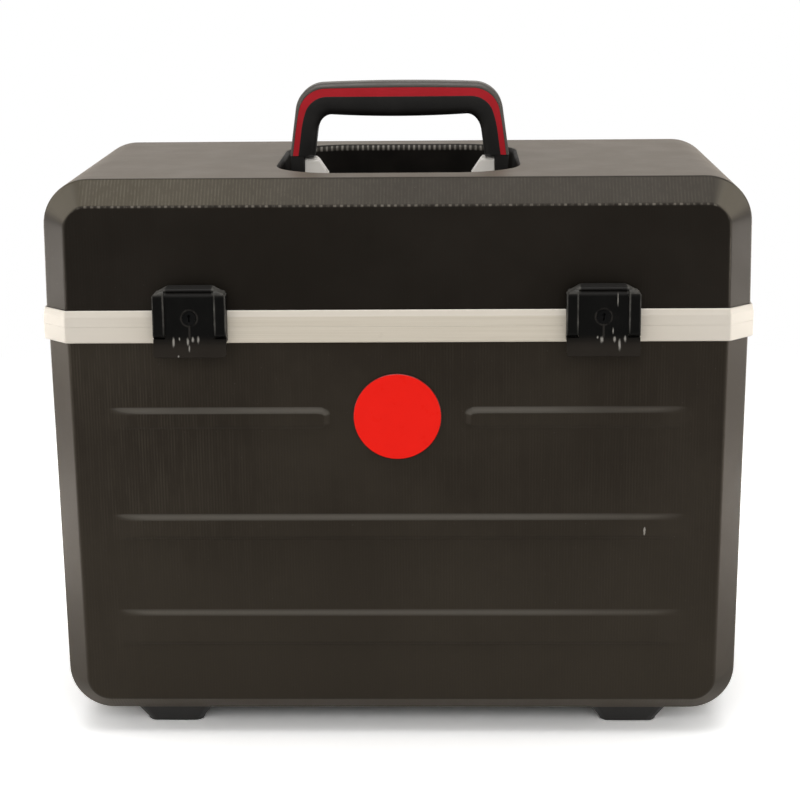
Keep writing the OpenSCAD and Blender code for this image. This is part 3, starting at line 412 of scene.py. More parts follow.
def make_lid_shell(lid_finish, pan_finish):
    """The lid and, from the rounding of the recess's rim down, the pan of the recess."""
    s, pan = Surface(), Surface()
    top, roof = shell_skins(s, LID_INSET, LID_END_CUT, LID_OPEN, LID_H, lid_place, split_top=True)
    joins = []
    upper, under = recess_levels(0, RECESS_RIM_R, 0), recess_levels(WALL, 0, -WALL)
    # The lid's skins end at the ring numbered last, and the pan's begin there
    for edge, levels, last in ((top, upper, 2), (roof, under, 0)):
        pts = s.all_points()[edge]
        angles = np.arctan2(pts[:, 1] - CASE_Y, pts[:, 0])
        part, above = s, edge
        for k, (inset, z) in enumerate(levels):
            loop = rounded_loop(angles, RECESS_W / 2 - inset, RECESS_L / 2 - inset, RECESS_R - inset)
            loop = [(x, y + CASE_Y, TOP_Z + z) for x, y in loop]
            row = part.add(loop)
            part.strip(above, row, closed=True)
            above = row
            if k == last:
                part, above = pan, pan.add(loop)
                joins.append((row, above))
        hub = part.add([(0, CASE_Y, TOP_Z + levels[-1][1])])[0]
        for k in range(len(above)):
            part.faces.append((above[k], above[(k + 1) % len(above)], hub))
    for part, a, b in zip((s, pan), *joins):
        part.strip(a, b, closed=True)
    weighted(add_mesh("lid_shell_skin", s, "lid", "shell_plastic", ["lid_shell"], lid_finish))
    # The pan takes the recess's darker finish, which is painted shade.
    weighted(add_mesh("lid_recess_pan", pan, "lid", "shell_plastic", material=pan_finish))


# Frame profiles

def fillet_outline(corners, n=4):
    """Closed outline with each corner (x, y, radius) rounded."""
    out = []
    for i, (x, y, r) in enumerate(corners):
        p, a, b = (Vector(c[:2]) for c in (corners[i], corners[i - 1], corners[(i + 1) % len(corners)]))
        da, db = (a - p).normalized(), (b - p).normalized()
        half = da.angle(db) / 2
        if r <= 0 or half > math.radians(88):
            out.append((x, y))
            continue
        reach = min(r / math.tan(half), (a - p).length * 0.49, (b - p).length * 0.49)
        r = reach * math.tan(half)
        mid = p + (da + db).normalized() * (r / math.sin(half))
        start, end = (p + da * reach) - mid, (p + db * reach) - mid
        turn = math.atan2(start.x * end.y - start.y * end.x, start.dot(end))
        for k in range(n + 1):
            q = Matrix.Rotation(turn * k / n, 2) @ start
            out.append((mid.x + q.x, mid.y + q.y))
    return out


def frame_plan(inset, radius=2.6, n=5):
    """The frame's plan at an inset, its eight corners slightly rounded."""
    a, b, c = CASE_W / 2 - inset, CASE_D / 2 - inset, CORNER_CUT - inset * LEAN
    back = [(a, b - c), (a - c, b), (c - a, b), (-a, b - c)]
    corners = back + [(-x, -y) for x, y in back]
    r = max(radius - inset, 0.15)
    return fillet_outline([(x, y, r) for x, y in corners], n)


FRAME_H, FRAME_GAP = 11.4, 0.04         # height of each half, and half the gap between them
LOWER_LIP, LID_LIP = 3, 2               # thickness of the frame's face
WALL_ROOM = 3.5                         # slot that takes the shell's wall
INNER_WALL, INNER_H = 1.6, 9.4          # the frame's wall inside the shell
TONGUE_X = LID_LIP + WALL_ROOM / 2      # the tongue and groove's middle, behind the face
SLOPED_EDGE = [(0, FRAME_H - 4.4, 1.6), (0.9, FRAME_H - 0.5, 0.5), (1.3, FRAME_H, 0.2)]
ROUND_EDGE = [(0, FRAME_H, 2.6)]


def make_frame(name, node, body, place, edge, lip, web, ridge):
    """Frame half from its profile: outer edge, lip, web, and (half width, height) of the tongue or groove."""
    low, slot = FRAME_GAP, lip + WALL_ROOM
    inside = slot + INNER_WALL
    left, right, ridge_h = TONGUE_X - ridge[0], TONGUE_X + ridge[0], low + ridge[1]
    section = fillet_outline([(0, low, 0.08)] + edge + [
        (lip, FRAME_H, 0.3), (lip, low + web, 0.2), (slot, low + web, 0.2), (slot, INNER_H, 0.2),
        (inside, INNER_H, 0.5), (inside, low, 0.3),
        (right, low, 0), (right, ridge_h, 0.1), (left, ridge_h, 0.1), (left, low, 0)])
    s = Surface()
    loops = [s.add(place([(x, y, h) for x, y in frame_plan(inset)])) for inset, h in section]
    for a, b in zip(loops, loops[1:] + loops[:1]):
        s.strip(a, b, closed=True)
    weighted(add_mesh(name, s, body, "frame_metal", [node], smooth_angle=40))


# Handle

HANDLE_HALF, HAND_HALF, HALF_AT = 80.8, 62.8, 11  # half widths outside and inside, at this height
ARM_LOW, GRIP_TOP, GRIP_LOW = 13.8, 67.4, 42.1    # heights above the pivot axis
GRIP_D, ARM_LEAN = 22, 0.136
ARM_SHIFT = 0.32                        # how much the layers move outwards on the arms
ARCH, SAG = 1, 1.5                      # how far the grip's middle stands above and below its corners
IN_RX, IN_RY, OUT_R = 10.6, 14.5, 21.5  # roundings inside and outside the grip's corners
STRAIGHT_PART = 0.42                    # part of the inner rounding with a straight outside
HEEL_IN, HEEL_T, HEEL_TOP, EYE_R = 70, 9.6, 12.8, 9
TURN_IN, TURN_OUT = math.atan(ARM_LEAN * IN_RY / IN_RX), math.atan(ARM_LEAN)
BEND_START = GRIP_LOW + SAG - IN_RY * (1 - math.sin(TURN_IN))
BEND_END = GRIP_TOP - ARCH - OUT_R * (1 - math.sin(TURN_OUT))


def outer_x(v):
    return HANDLE_HALF - (v - HALF_AT) * ARM_LEAN


def inner_x(v):
    return HAND_HALF - (v - HALF_AT) * ARM_LEAN


CORNER_IN = (inner_x(BEND_START) - IN_RX * math.cos(TURN_IN), GRIP_LOW + SAG - IN_RY)
CORNER_OUT = (outer_x(BEND_END) - OUT_R * math.cos(TURN_OUT), GRIP_TOP - ARCH - OUT_R)

# Sections of the handle's layers from outside to inside: share of the thickness, share of the half width
CAP = [(0, 0.60), (0.012, 0.74), (0.035, 0.84), (0.07, 0.92), (0.11, 0.97), (0.152, 1), (0.165, 0.985)]
STRIPE = [(0.165, 0.975), (0.175, 0.985), (0.415, 0.985), (0.425, 0.975)]
GRIP = [(0.425, 0.985), (0.437, 1), (0.6, 1), (0.76, 0.98),
        (0.86, 0.94), (0.93, 0.87), (0.975, 0.76), (1, 0.60)]


def handle_stations(n=40):
    """(outer point, inner point, share of arm) from the right arm's foot over the grip to the left one."""
    half = [((outer_x(v), v), (inner_x(v), v), 1) for v in np.linspace(ARM_LOW, BEND_START, 9)[:-1]]
    for t in np.linspace(0, 1, n):
        a = TURN_IN + (math.pi / 2 - TURN_IN) * t
        inner = (CORNER_IN[0] + IN_RX * math.cos(a), CORNER_IN[1] + IN_RY * math.sin(a))
        if t < STRAIGHT_PART:
            v = BEND_START + (BEND_END - BEND_START) * t / STRAIGHT_PART
            outer = (outer_x(v), v)
        else:
            b = TURN_OUT + (math.pi / 2 - TURN_OUT) * (t - STRAIGHT_PART) / (1 - STRAIGHT_PART)
            outer = (CORNER_OUT[0] + OUT_R * math.cos(b), CORNER_OUT[1] + OUT_R * math.sin(b))
        half.append((outer, inner, (1 + math.cos(math.pi * t)) / 2))
    for k in np.linspace(1, 0, 9)[1:]:
        outer = (CORNER_OUT[0] * k, GRIP_TOP - ARCH * k * k)
        inner = (CORNER_IN[0] * k, GRIP_LOW + SAG * k * k)
        half.append((outer, inner, 0))
    return half + [((-o[0], o[1]), (-i[0], i[1]), arm) for o, i, arm in half[-2::-1]]


def handle_place(p):
    """From the pivot axis to the case's frame."""
    p = np.asarray(p, float)
    return np.column_stack([p[:, 0], p[:, 1] + CASE_Y, p[:, 2] + PIVOT_Z])


def make_handle_layer(name, node, slot, section):
    """Layer of the handle, its section led along the stations."""
    profile = section + [(f, -w) for f, w in section[::-1]]
    s = Surface()
    loops = []
    for (outer_u, outer_v), (inner_u, inner_v), arm in handle_stations():
        pts = []
        for f, w in profile:
            f *= 1 - ARM_SHIFT * arm * (1 - f)
            pts.append((outer_u + (inner_u - outer_u) * f, w * GRIP_D / 2, outer_v + (inner_v - outer_v) * f))
        loops.append(s.add(handle_place(pts)))
    for a, b in zip(loops, loops[1:]):
        s.strip(a, b, closed=True)
    s.faces += [tuple(loops[0]), tuple(loops[-1][::-1])]
    weighted(add_mesh(name, s, "handle", slot, [node], smooth_angle=50))


def prism(s, outline, y0, y1, place):
    """Adds an outline in X and Z, pushed from y0 to y1."""
    a = s.add(place([(x, y0, z) for x, z in outline]))
    b = s.add(place([(x, y1, z) for x, z in outline]))
    s.strip(a, b, closed=True)
    s.faces += [tuple(a[::-1]), tuple(b)]


def make_heels():
    """Feet of the handle's arms, each an eye round its pivot pin under a slanted shoulder."""
    in_x, out_x, shoulder = inner_x(ARM_LOW) + 0.2, outer_x(ARM_LOW) - 0.4, HEEL_IN + HEEL_T
    half_d = GRIP_D / 2 - 0.5
    shape = fillet_outline([(in_x, ARM_LOW, 0), (in_x, HEEL_TOP, 0.3), (HEEL_IN, HEEL_TOP, 0.6),
                            (HEEL_IN, 0, 0), (shoulder, 0, 0), (out_x, ARM_LOW, 0)])
    eye = [(EYE_R * math.cos(a), EYE_R * math.sin(a)) for a in np.linspace(0, 2 * math.pi, 49)[:-1]]
    rim = [(0, 0.93), (0.4, 0.98), (1, 1)]     # depth from the eye's end, share of its radius
    steps = [(HEEL_IN + x, k) for x, k in rim] + [(shoulder - x, k) for x, k in rim[::-1]]
    for side, name in ((-1, "left"), (1, "right")):
        s = Surface()
        prism(s, [(side * x, z) for x, z in shape], -half_d, half_d, handle_place)
        rings = [s.add(handle_place([(side * x, y * k, z * k) for y, z in eye])) for x, k in steps]
        for a, b in zip(rings, rings[1:]):
            s.strip(a, b, closed=True)
        s.faces += [tuple(rings[0][::-1]), tuple(rings[-1])]
        # Painted shade: the heels take the black finish rather than the grey of the handle's frame.
        bevel(add_mesh(f"handle_heel_{name}", s, "handle", "handle_black"), 0.5)


# Materials

def put(tree, socket, value):
    """Links a socket to another socket, or gives it a value."""
    if isinstance(value, bpy.types.NodeSocket):
        tree.links.new(value, socket)
    elif socket.type == "RGBA":
        socket.default_value = (*value, 1)
    else:
        socket.default_value = value


def add_node(tree, kind, inputs=None, **settings):
    """New node with its settings and its inputs, which are given by name or number."""
    node = tree.nodes.new("ShaderNode" + kind)
    for key, value in settings.items():
        setattr(node, key, value)
    for key, value in (inputs or {}).items():
        put(tree, node.inputs[key], value)
    return node


class Material:
    """A Principled material and short calls for the nodes that feed it. Noise scales are per metre."""

    def __init__(self, name, **constants):
        self.mat = bpy.data.materials.new(name)
        self.mat.use_nodes = True
        self.tree = self.mat.node_tree
        self.bsdf = self.tree.nodes["Principled BSDF"]
        self.coord = self.node("TexCoord").outputs
        for key, value in constants.items():
            self.set(key.replace("_", " "), value)

    def node(self, kind, inputs=None, **settings):
        return add_node(self.tree, kind, inputs, **settings)

    def set(self, key, value):
        put(self.tree, self.bsdf.inputs[key], value)

    @cached_property
    def place(self):
        """X, Y and Z of the point, in millimetres."""
        return self.node("SeparateXYZ", {0: self.scaled(1 / MM, 1 / MM, 1 / MM)}).outputs

    @cached_property
    def normal(self):
        return self.node("SeparateXYZ", {0: self.coord["Normal"]}).outputs

    def math(self, op, *values):
        return self.node("Math", dict(enumerate(values)), operation=op).outputs[0]

    def add_product(self, a, b, c):
        return self.math("MULTIPLY_ADD", a, b, c)

    def times(self, value, *factors):
        for factor in factors:
            value = self.math("MULTIPLY", value, factor)
        return value

    def distance(self, a, b):
        return self.math("SQRT", self.add_product(a, a, self.times(b, b)))

    def remap(self, value, low, high, first=0.0, last=1.0):
        """Smooth step from first to last while the value goes from low to high."""
        inputs = dict(enumerate((value, low, high, first, last)))
        return self.node("MapRange", inputs, interpolation_type="SMOOTHSTEP").outputs["Result"]

    def rise(self, value, low, high):
        return self.remap(value, low, high)

    def fall(self, value, low, high):
        return self.remap(value, low, high, 1.0, 0.0)

    def between(self, value, low, low_full, high_full, high):
        """1 where the value is between low_full and high_full, 0 below low and above high."""
        return self.times(self.rise(value, low, low_full), self.fall(value, high_full, high))

    def scaled(self, x, y, z):
        inputs = {0: self.coord["Object"], 1: (x, y, z)}
        return self.node("VectorMath", inputs, operation="MULTIPLY").outputs[0]

    def noise(self, scale, detail, rough):
        inputs = {"Vector": self.coord["Object"], "Scale": scale, "Detail": detail, "Roughness": rough}
        return self.node("TexNoise", inputs).outputs["Fac"]

    def drawn_noise(self, x, y, z, detail, rough):
        """Noise with its own scale along each axis."""
        inputs = {"Vector": self.scaled(x, y, z), "Scale": 1.0, "Detail": detail, "Roughness": rough}
        return self.node("TexNoise", inputs).outputs["Fac"]

    def mix(self, factor, a, b, data_type="RGBA"):
        return self.node("Mix", {"Factor": factor, "A": a, "B": b}, data_type=data_type).outputs["Result"]

    def bump(self, height, distance, strength):
        """Sets the normal from a height. The distance is in millimetres."""
        node = self.node("Bump", {"Strength": strength, "Distance": distance * MM, "Height": height})
        self.set("Normal", node.outputs[0])

    def worn(self, base, light, scale, amount):
        """Uneven colour: base, with light in soft patches."""
        return self.mix(self.remap(self.noise(scale, 4.0, 0.6), 0.35, 0.75, 0.0, amount), base, light)

    def roughness(self, scale, low, high):
        """Roughness in soft patches between low and high."""
        return self.remap(self.noise(scale, 4.0, 0.6), 0.3, 0.7, low, high)


def uneven_lines(m, least):
    """How strongly each stretch of a line shows."""
    return m.remap(m.drawn_noise(190, 190, 20, 4.0, 0.7), 0.35, 0.62, least, 1.0)


class ShellMaterial(Material):
    """Moulded plastic: an upright, wavy line grain on its sides, painted glints and wear along the folds,
    painted highlights on the slopes, rib bevels and corner folds, and a smooth top.
    """

    LINE_PITCH, RIDGE_PITCH, DOT_PITCH = 2.05, 2.4, 4.6
    # Colours of painted light on the slopes, of painted highlights on their ridges, the ribs' upper bevels
    # and the corner folds, of painted glints with some wear along the folds, and of real dust.
    SLOPE, RIDGE = (0.048, 0.040, 0.024), (0.11, 0.098, 0.070)
    RIB, CORNER = (0.070, 0.064, 0.054), (0.090, 0.080, 0.062)
    RUBBED, DUST = (0.20, 0.18, 0.15), (0.30, 0.28, 0.25)
    SCUFF_X, SCUFF_Z, SCUFF_W, SCUFF_H = 172.6, 154.0, 0.8, 3.4

    def __init__(self, name, base, light):
        super().__init__(name, Specular_IOR_Level=0.08, Specular_Tint=(1, 0.90, 0.80), Sheen_Weight=0.25,
                         Sheen_Roughness=0.35, Sheen_Tint=(1, 0.84, 0.66))
        self.x, self.y, self.z = (self.place[axis] for axis in "XYZ")
        self.up = self.normal["Z"]
        self.sideways = self.math("ABSOLUTE", self.normal["X"])
        self.facing = self.fall(self.sideways, 0.06, 0.2)
        self.along = self.mix(self.rise(self.sideways, 0.62, 0.8), self.x, self.y, "FLOAT")
        self.sway = self.drawn_noise(16, 16, 7, 3.0, 0.55)
        self.uneven = uneven_lines(self, 0.1)
        self.lines = self.add_product(self.waves(5.0, self.LINE_PITCH), 0.5, 0.5)
        rib = self.ribs()
        grain = self.grain(rib)
        self.bump(self.add_product(self.noise(900.0, 3.0, 0.6), 0.3, grain), 0.16, 0.75)
        colour = self.worn(base, light, 9.0, 0.5)
        colour = self.mix(self.times(grain, 0.9), colour, light)
        colour = self.slopes(colour)
        # Painted highlight along the ribs' upper bevels, fading towards the right and the bottom.
        lit = self.times(rib, self.remap(self.x, 80, 200, 1.0, 0.30), self.remap(self.z, 80, 250, 0.80, 1.05))
        colour = self.mix(lit, colour, self.RIB)
        # Painted highlight on the lid's upper corner folds.
        colour = self.mix(self.corners(), colour, self.CORNER)
        # Painted light: the front lighter towards the bottom, against the shade near the floor.
        low = self.times(self.remap(self.z, 30, 240, 0.55, 0.0), self.fall(self.normal["Y"], -0.95, -0.8))
        colour = self.mix(low, colour, light)
        # Painted glints, partly wear, along the folds.
        colour = self.mix(self.rubbed_folds(), colour, self.RUBBED)
        specks = self.remap(self.noise(700.0, 2.0, 0.5), 0.74, 0.80, 0.0, 0.12)
        self.set("Base Color", self.mix(self.math("MAXIMUM", specks, self.scuff()), colour, self.DUST))
        self.set("Roughness", self.roughness(30.0, 0.44, 0.49))

    def waves(self, bend, pitch):
        """Sine across upright lines at a pitch in millimetres, which sway to and fro."""
        turns = self.times(self.along, 2 * math.pi / pitch)
        return self.math("SINE", self.add_product(self.sway, bend, turns))

    def ribs(self):
        """The upper bevels of the lower shell's ribs, where a highlight is painted and the grain fades."""
        return self.times(self.between(self.up, 0.02, 0.28, 0.7, 0.85),
                          self.fall(self.z, SEAM_Z - 11.5, SEAM_Z - 6.5))

    def grain(self, rib):
        """Line grain of the upright faces, weaker on the lid, to the right and in patches."""
        folded = self.between(self.sideways, 0.06, 0.20, 0.85, 0.95)
        lid = self.times(self.fall(self.up, 0.2, 0.4), self.rise(self.z, SEAM_Z + 1.5, SEAM_Z + 2.5))
        worn_area = self.remap(self.drawn_noise(9, 9, 4, 2.0, 0.5), 0.35, 0.65, 0.3, 1.0)
        return self.times(self.lines, self.uneven, self.fall(self.up, 0.75, 0.9),
                          self.math("SUBTRACT", 1.0, folded), self.add_product(lid, -0.65, 1.0),
                          self.math("SUBTRACT", 1.0, rib), worn_area, self.remap(self.x, -210, -50, 1.0, 0.4))

    def slopes(self, colour):
        """The lid's slopes, lighter as painted light and more so to the left, with painted highlights on fine
        ridges on those in front and behind.
        """
        slope = self.between(self.up, 0.5, 0.65, 0.85, 0.95)
        ridges = self.times(self.rise(self.waves(7.0, self.RIDGE_PITCH), -0.2, 0.9), self.uneven,
                            self.remap(self.x, -220, 0, 0.50, 0.12), slope, self.facing)
        # Painted light: the slopes lighter, more so to the left; painted highlights on their ridges.
        colour = self.mix(self.times(slope, self.remap(self.x, -200, 20, 0.8, 0.12)), colour, self.SLOPE)
        return self.mix(ridges, colour, self.RIDGE)

    def corners(self):
        """The lid's upper corner folds, painted lighter as a highlight."""
        return self.times(self.between(self.up, 0.1, 0.3, 0.62, 0.78),
                          self.between(self.sideways, 0.08, 0.3, 0.6, 0.8), self.rise(self.z, 330, 350))

    def rubbed_folds(self):
        """Painted glints, partly wear, in dots along the lower edge of the lid's slopes and strokes along its
        upright folds.
        """
        dots = self.times(self.remap(self.waves(3.0, self.DOT_PITCH), -0.3, 0.7, 0.1, 0.75), self.facing,
                          self.between(self.up, 0.12, 0.30, 0.45, 0.62))
        strokes = self.times(self.between(self.sideways, 0.12, 0.30, 0.42, 0.58),
                             self.fall(self.up, 0.08, 0.2), self.lines, 0.3)
        return self.times(self.math("MAXIMUM", dots, strokes), self.uneven,
                          self.rise(self.z, SEAM_Z + 12, SEAM_Z + 16))

    def scuff(self):
        """One small upright scuff at the right of the front, its outline torn."""
        across = self.times(self.math("SUBTRACT", self.x, self.SCUFF_X), 1 / self.SCUFF_W)
        upward = self.times(self.math("SUBTRACT", self.z, self.SCUFF_Z), 1 / self.SCUFF_H)
        away = self.add_product(across, across, self.times(upward, upward))
        torn = self.add_product(self.noise(900.0, 3.0, 0.6), 1.5, away)
        return self.times(self.fall(torn, 1.2, 1.8), self.fall(self.y, -100, -90))


def recess_material():
    """The lid's plastic in the recess, near black and without sheen as painted shade, lighter at the top of
    the back wall as painted light, with painted glints in strokes along its rim.
    """
    stroke_pitch = 4
    m = Material("recess_plastic", Specular_IOR_Level=0.04)
    wall = m.times(m.fall(m.normal["Y"], -0.75, -0.45), m.rise(m.place["Y"], 50, 60),
                   m.rise(m.place["Z"], TOP_Z - 5, TOP_Z - 3.5))
    strokes = m.rise(m.math("SINE", m.times(m.place["X"], 2 * math.pi / stroke_pitch)), 0.0, 0.6)
    # Painted shade: near black in the recess.
    colour = m.worn((0.0035, 0.0028, 0.0020), (0.010, 0.008, 0.006), 60.0, 0.5)
    # Painted light at the top of the back wall, and painted glints in strokes along its rim.
    colour = m.mix(m.times(wall, 0.7), colour, (0.045, 0.040, 0.033))
    m.set("Base Color", m.mix(m.times(wall, strokes, uneven_lines(m, 0.35)), colour, (0.27, 0.25, 0.22)))
    m.bump(m.noise(700.0, 3.0, 0.6), 0.08, 0.6)
    m.set("Roughness", m.roughness(40.0, 0.50, 0.62))
    return m.mat


def frame_material():
    """Satin anodised aluminium, drawn along its length, with painted highlights at its ends and on its slope.
    """
    m = Material("frame_metal", Metallic=0.012, Specular_IOR_Level=0.12)
    streaks = m.drawn_noise(6, 6, 2600, 4.0, 0.65)
    m.bump(streaks, 0.02, 0.5)
    colour = m.mix(m.rise(streaks, 0.35, 0.65), (0.655, 0.592, 0.490), (0.712, 0.652, 0.550))
    # Painted highlights: lighter towards the ends and where the face turns upwards.
    end = m.times(m.rise(m.math("ABSOLUTE", m.place["X"]), 100, 240), 0.9)
    colour = m.mix(m.math("MAXIMUM", end, m.rise(m.normal["Z"], 0.1, 0.3)), colour, (0.755, 0.70, 0.62))
    marks = m.remap(m.noise(60.0, 5.0, 0.7), 0.62, 0.78, 0.0, 0.35)
    m.set("Base Color", m.mix(marks, colour, (0.50, 0.445, 0.365)))
    m.set("Roughness", m.remap(m.drawn_noise(5, 5, 30, 3.0, 0.5), 0.3, 0.7, 0.30, 0.42))
    return m.mat


def plain_material(name, base, light, rough, grain=900.0, depth=0.05, metal=0.0, specular=0.35, wear=40.0):
    """Moulded plastic, rubber or plated metal with a fine grain and uneven colour."""
    m = Material(name, Metallic=metal, Specular_IOR_Level=specular)
    m.bump(m.noise(grain, 3.0, 0.6), depth, 0.6)
    m.set("Base Color", m.worn(base, light, wear, 0.35))
    m.set("Roughness", m.roughness(wear * 2, *rough))
    return m.mat


# Chips of the left and the right latch: across from the latch's middle, height over the seam, half sizes
CHIPS = {
    -1: [(-11.0, -8.2, 0.9, 3.2), (-7.0, -6.0, 0.5, 1.2), (-1.2, -8.0, 0.9, 2.6), (-0.2, -12.5, 0.6, 2.2),
         (2.2, -6.5, 0.9, 1.8), (5.9, -6.8, 0.9, 2.4), (-7.6, -17.6, 0.6, 0.8)],
    1: [(-1.2, -7.4, 1.1, 2.2), (-4.0, -6.0, 0.6, 1.0), (7.4, -7.2, 1.0, 2.0), (10.8, -11.0, 0.9, 3.6),
        (14.6, -6.8, 0.8, 2.2), (6.4, -1.5, 0.5, 2.2), (9.4, 20.0, 0.45, 4.6)],
}


def latch_chips(m, up):
    """Where the paint is chipped off: torn spots of the sizes in CHIPS."""
    torn = m.drawn_noise(620, 620, 200, 4.0, 0.75)
    chips = 0.0
    for side, spots in CHIPS.items():
        across = m.math("SUBTRACT", m.place["X"], side * LATCH_X)
        for x, z, w, h in spots:
            a = m.times(m.math("SUBTRACT", across, x), 1 / w)
            b = m.times(m.math("SUBTRACT", up, z), 1 / h)
            size = m.add_product(torn, 1.4, m.distance(a, b))
            chips = m.math("MAXIMUM", chips, m.fall(size, 0.95, 2.0))
    return chips


def latch_rims(m, beside, up, front):
    """Painted highlights along the rims of the cheeks and of the roof."""
    inner = m.between(beside, CHEEK_IN - 0.8, CHEEK_IN - 0.4, CHEEK_IN + 0.4, CHEEK_IN + 1)
    rims = m.times(m.math("MAXIMUM", m.rise(beside, CHEEK_OUT - 0.6, CHEEK_OUT), inner), m.rise(up, -6, 4))
    roof = m.times(m.rise(up, ROOF_UP + 1, ROOF_UP + 2.5), m.rise(beside, 15, 16.5))
    return m.times(m.math("MAXIMUM", rims, roof), m.remap(m.noise(120.0, 3.0, 0.6), 0.3, 0.7, 0.35, 1.0),
                   m.math("MAXIMUM", front, m.rise(up, ROOF_UP, ROOF_UP + 1.5)))


def key_marks(m, wide, up):
    """A faint ring round the key cylinder and a faint streak below it."""
    key = m.math("SUBTRACT", up, KEY_UP)
    ring = m.times(m.between(m.distance(wide, key), 4.8, 5.4, 5.8, 6.6),
                   m.remap(m.noise(190.0, 3.0, 0.6), 0.40, 0.60, 0.1, 1.0))
    streak = m.times(m.fall(m.math("ABSOLUTE", wide), 0.4, 1.0), m.between(key, -15, -13.5, -5.5, -4.5))
    return m.math("MAXIMUM", ring, streak)


def latch_material():
    """Black paint with rubbed patches, painted highlights at the rims, a lighter roof top as painted light
    and a lighter lip as painted reflection, with a few upright chips above the lip.
    """
    m = Material("latch_black", Specular_IOR_Level=0.05)
    wide = m.math("SUBTRACT", m.math("ABSOLUTE", m.place["X"]), LATCH_X)
    beside = m.math("ABSOLUTE", wide)
    up = m.math("SUBTRACT", m.place["Z"], SEAM_Z)
    front = m.fall(m.place["Y"], LATCH_FRONT_Y - 0.5, LATCH_FRONT_Y + 0.5)
    chips = m.times(latch_chips(m, up), front)
    rub = m.remap(m.noise(160.0, 5.0, 0.7), 0.55, 0.75, 0.0, 0.35)
    colour = m.mix(rub, (0.0020, 0.0019, 0.0016), (0.008, 0.0075, 0.0065))
    # Painted light on the roof's upward top.
    colour = m.mix(m.remap(up, ROOF_UP, ROOF_UP + 2, 0.0, 0.8), colour, (0.013, 0.012, 0.011))
    # Painted reflection: the lip lighter.
    colour = m.mix(m.times(m.fall(up, -14, -3), front, 0.85), colour, (0.021, 0.017, 0.0130))
    # Painted highlights along the rims.
    colour = m.mix(latch_rims(m, beside, up, front), colour, (0.090, 0.086, 0.078))
    colour = m.mix(m.times(key_marks(m, wide, up), front, 0.5), colour, (0.040, 0.036, 0.032))
    m.set("Base Color", m.mix(chips, colour, (0.28, 0.265, 0.24)))
    matt = m.math("MAXIMUM", chips, m.rise(up, ROOF_UP - 0.5, ROOF_UP + 1))
    m.set("Roughness", m.mix(matt, m.roughness(90.0, 0.28, 0.40), 0.6, "FLOAT"))
    m.bump(m.math("SUBTRACT", m.times(m.noise(500.0, 3.0, 0.6), 0.15), chips), 0.08, 0.5)
    return m.mat


def disc_material():
    """Glossy red lacquer, darker in a thin line round its edge."""
    m = Material("disc_red", Specular_IOR_Level=0.09)
    away = m.distance(m.place["X"], m.math("SUBTRACT", m.place["Z"], SEAM_Z - DISC_DOWN))
    red = m.worn((0.97, 0.013, 0.006), (0.92, 0.011, 0.005), 25.0, 0.5)
    m.set("Base Color", m.mix(m.rise(away, DISC_R - 0.8, DISC_R), red, (0.09, 0.006, 0.005)))
    m.set("Roughness", m.roughness(70.0, 0.26, 0.36))
    m.bump(m.noise(260.0, 3.0, 0.6), 0.03, 0.4)
    return m.mat


def grip_material(name, base, light, rough):
    """Soft plastic with a fine pebble grain."""
    m = Material(name, Specular_IOR_Level=0.15)
    cells = m.node("TexVoronoi", {"Scale": 900, "Vector": m.coord["Object"]})
    m.bump(m.add_product(m.noise(300.0, 3.0, 0.6), 0.5, cells.outputs["Distance"]), 0.05, 0.5)
    m.set("Base Color", m.worn(base, light, 60.0, 0.5))
    m.set("Roughness", m.roughness(50.0, *rough))
    return m.mat


# Base colour, worn colour and roughness of the simpler finishes, and how they differ from the usual grain
GRIPS = {
    "handle_grey": ((0.050, 0.043, 0.036), (0.075, 0.066, 0.056), (0.42, 0.55)),
    "handle_red": ((0.46, 0.010, 0.018), (0.54, 0.014, 0.026), (0.38, 0.50)),
    "handle_black": ((0.004, 0.0035, 0.003), (0.010, 0.009, 0.008), (0.40, 0.55)),
}
PLAIN = {
    "bracket_plastic": ((0.84, 0.80, 0.74), (0.92, 0.89, 0.84), (0.35, 0.48),
                        {"grain": 500.0, "depth": 0.04}),
    "steel": ((0.44, 0.43, 0.41), (0.52, 0.51, 0.49), (0.38, 0.50),
              {"grain": 300.0, "depth": 0.004, "metal": 0.7, "specular": 0.5, "wear": 60.0}),
    "rivet_metal": ((0.52, 0.51, 0.49), (0.62, 0.61, 0.59), (0.32, 0.45),
                    {"grain": 300.0, "depth": 0.004, "metal": 0.8}),
    "key_metal": ((0.002, 0.002, 0.002), (0.011, 0.0105, 0.010), (0.26, 0.38),
                  {"grain": 600.0, "depth": 0.03, "metal": 0.1, "specular": 0.05}),
    "foot_plastic": ((0.010, 0.009, 0.008), (0.022, 0.020, 0.018), (0.45, 0.6),
                     {"grain": 700.0, "depth": 0.08}),
    "tray_plastic": ((0.020, 0.020, 0.021), (0.040, 0.040, 0.042), (0.45, 0.6),
                     {"grain": 800.0, "depth": 0.10}),
    "divider_plastic": ((0.060, 0.060, 0.062), (0.095, 0.095, 0.098), (0.4, 0.55),
                        {"grain": 800.0, "depth": 0.08}),
    "seal_rubber": ((0.010, 0.010, 0.010), (0.020, 0.020, 0.020), (0.55, 0.7), {}),
}
FINISH = {
    "shell_plastic": ShellMaterial("lower_plastic", (0.0160, 0.0125, 0.0088), (0.036, 0.030, 0.022)).mat,
    "frame_metal": frame_material(),
    "latch_black": latch_material(),
    "disc_red": disc_material(),
}
FINISH.update((slot, grip_material(slot, *look)) for slot, look in GRIPS.items())
FINISH.update((slot, plain_material(slot, *look, **grain)) for slot, (*look, grain) in PLAIN.items())
# The lower shell's plastic with a darker base colour, as painted shade on the lid.
lid_plastic = ShellMaterial("lid_plastic", (0.0045, 0.0034, 0.0022), (0.014, 0.0115, 0.009)).mat


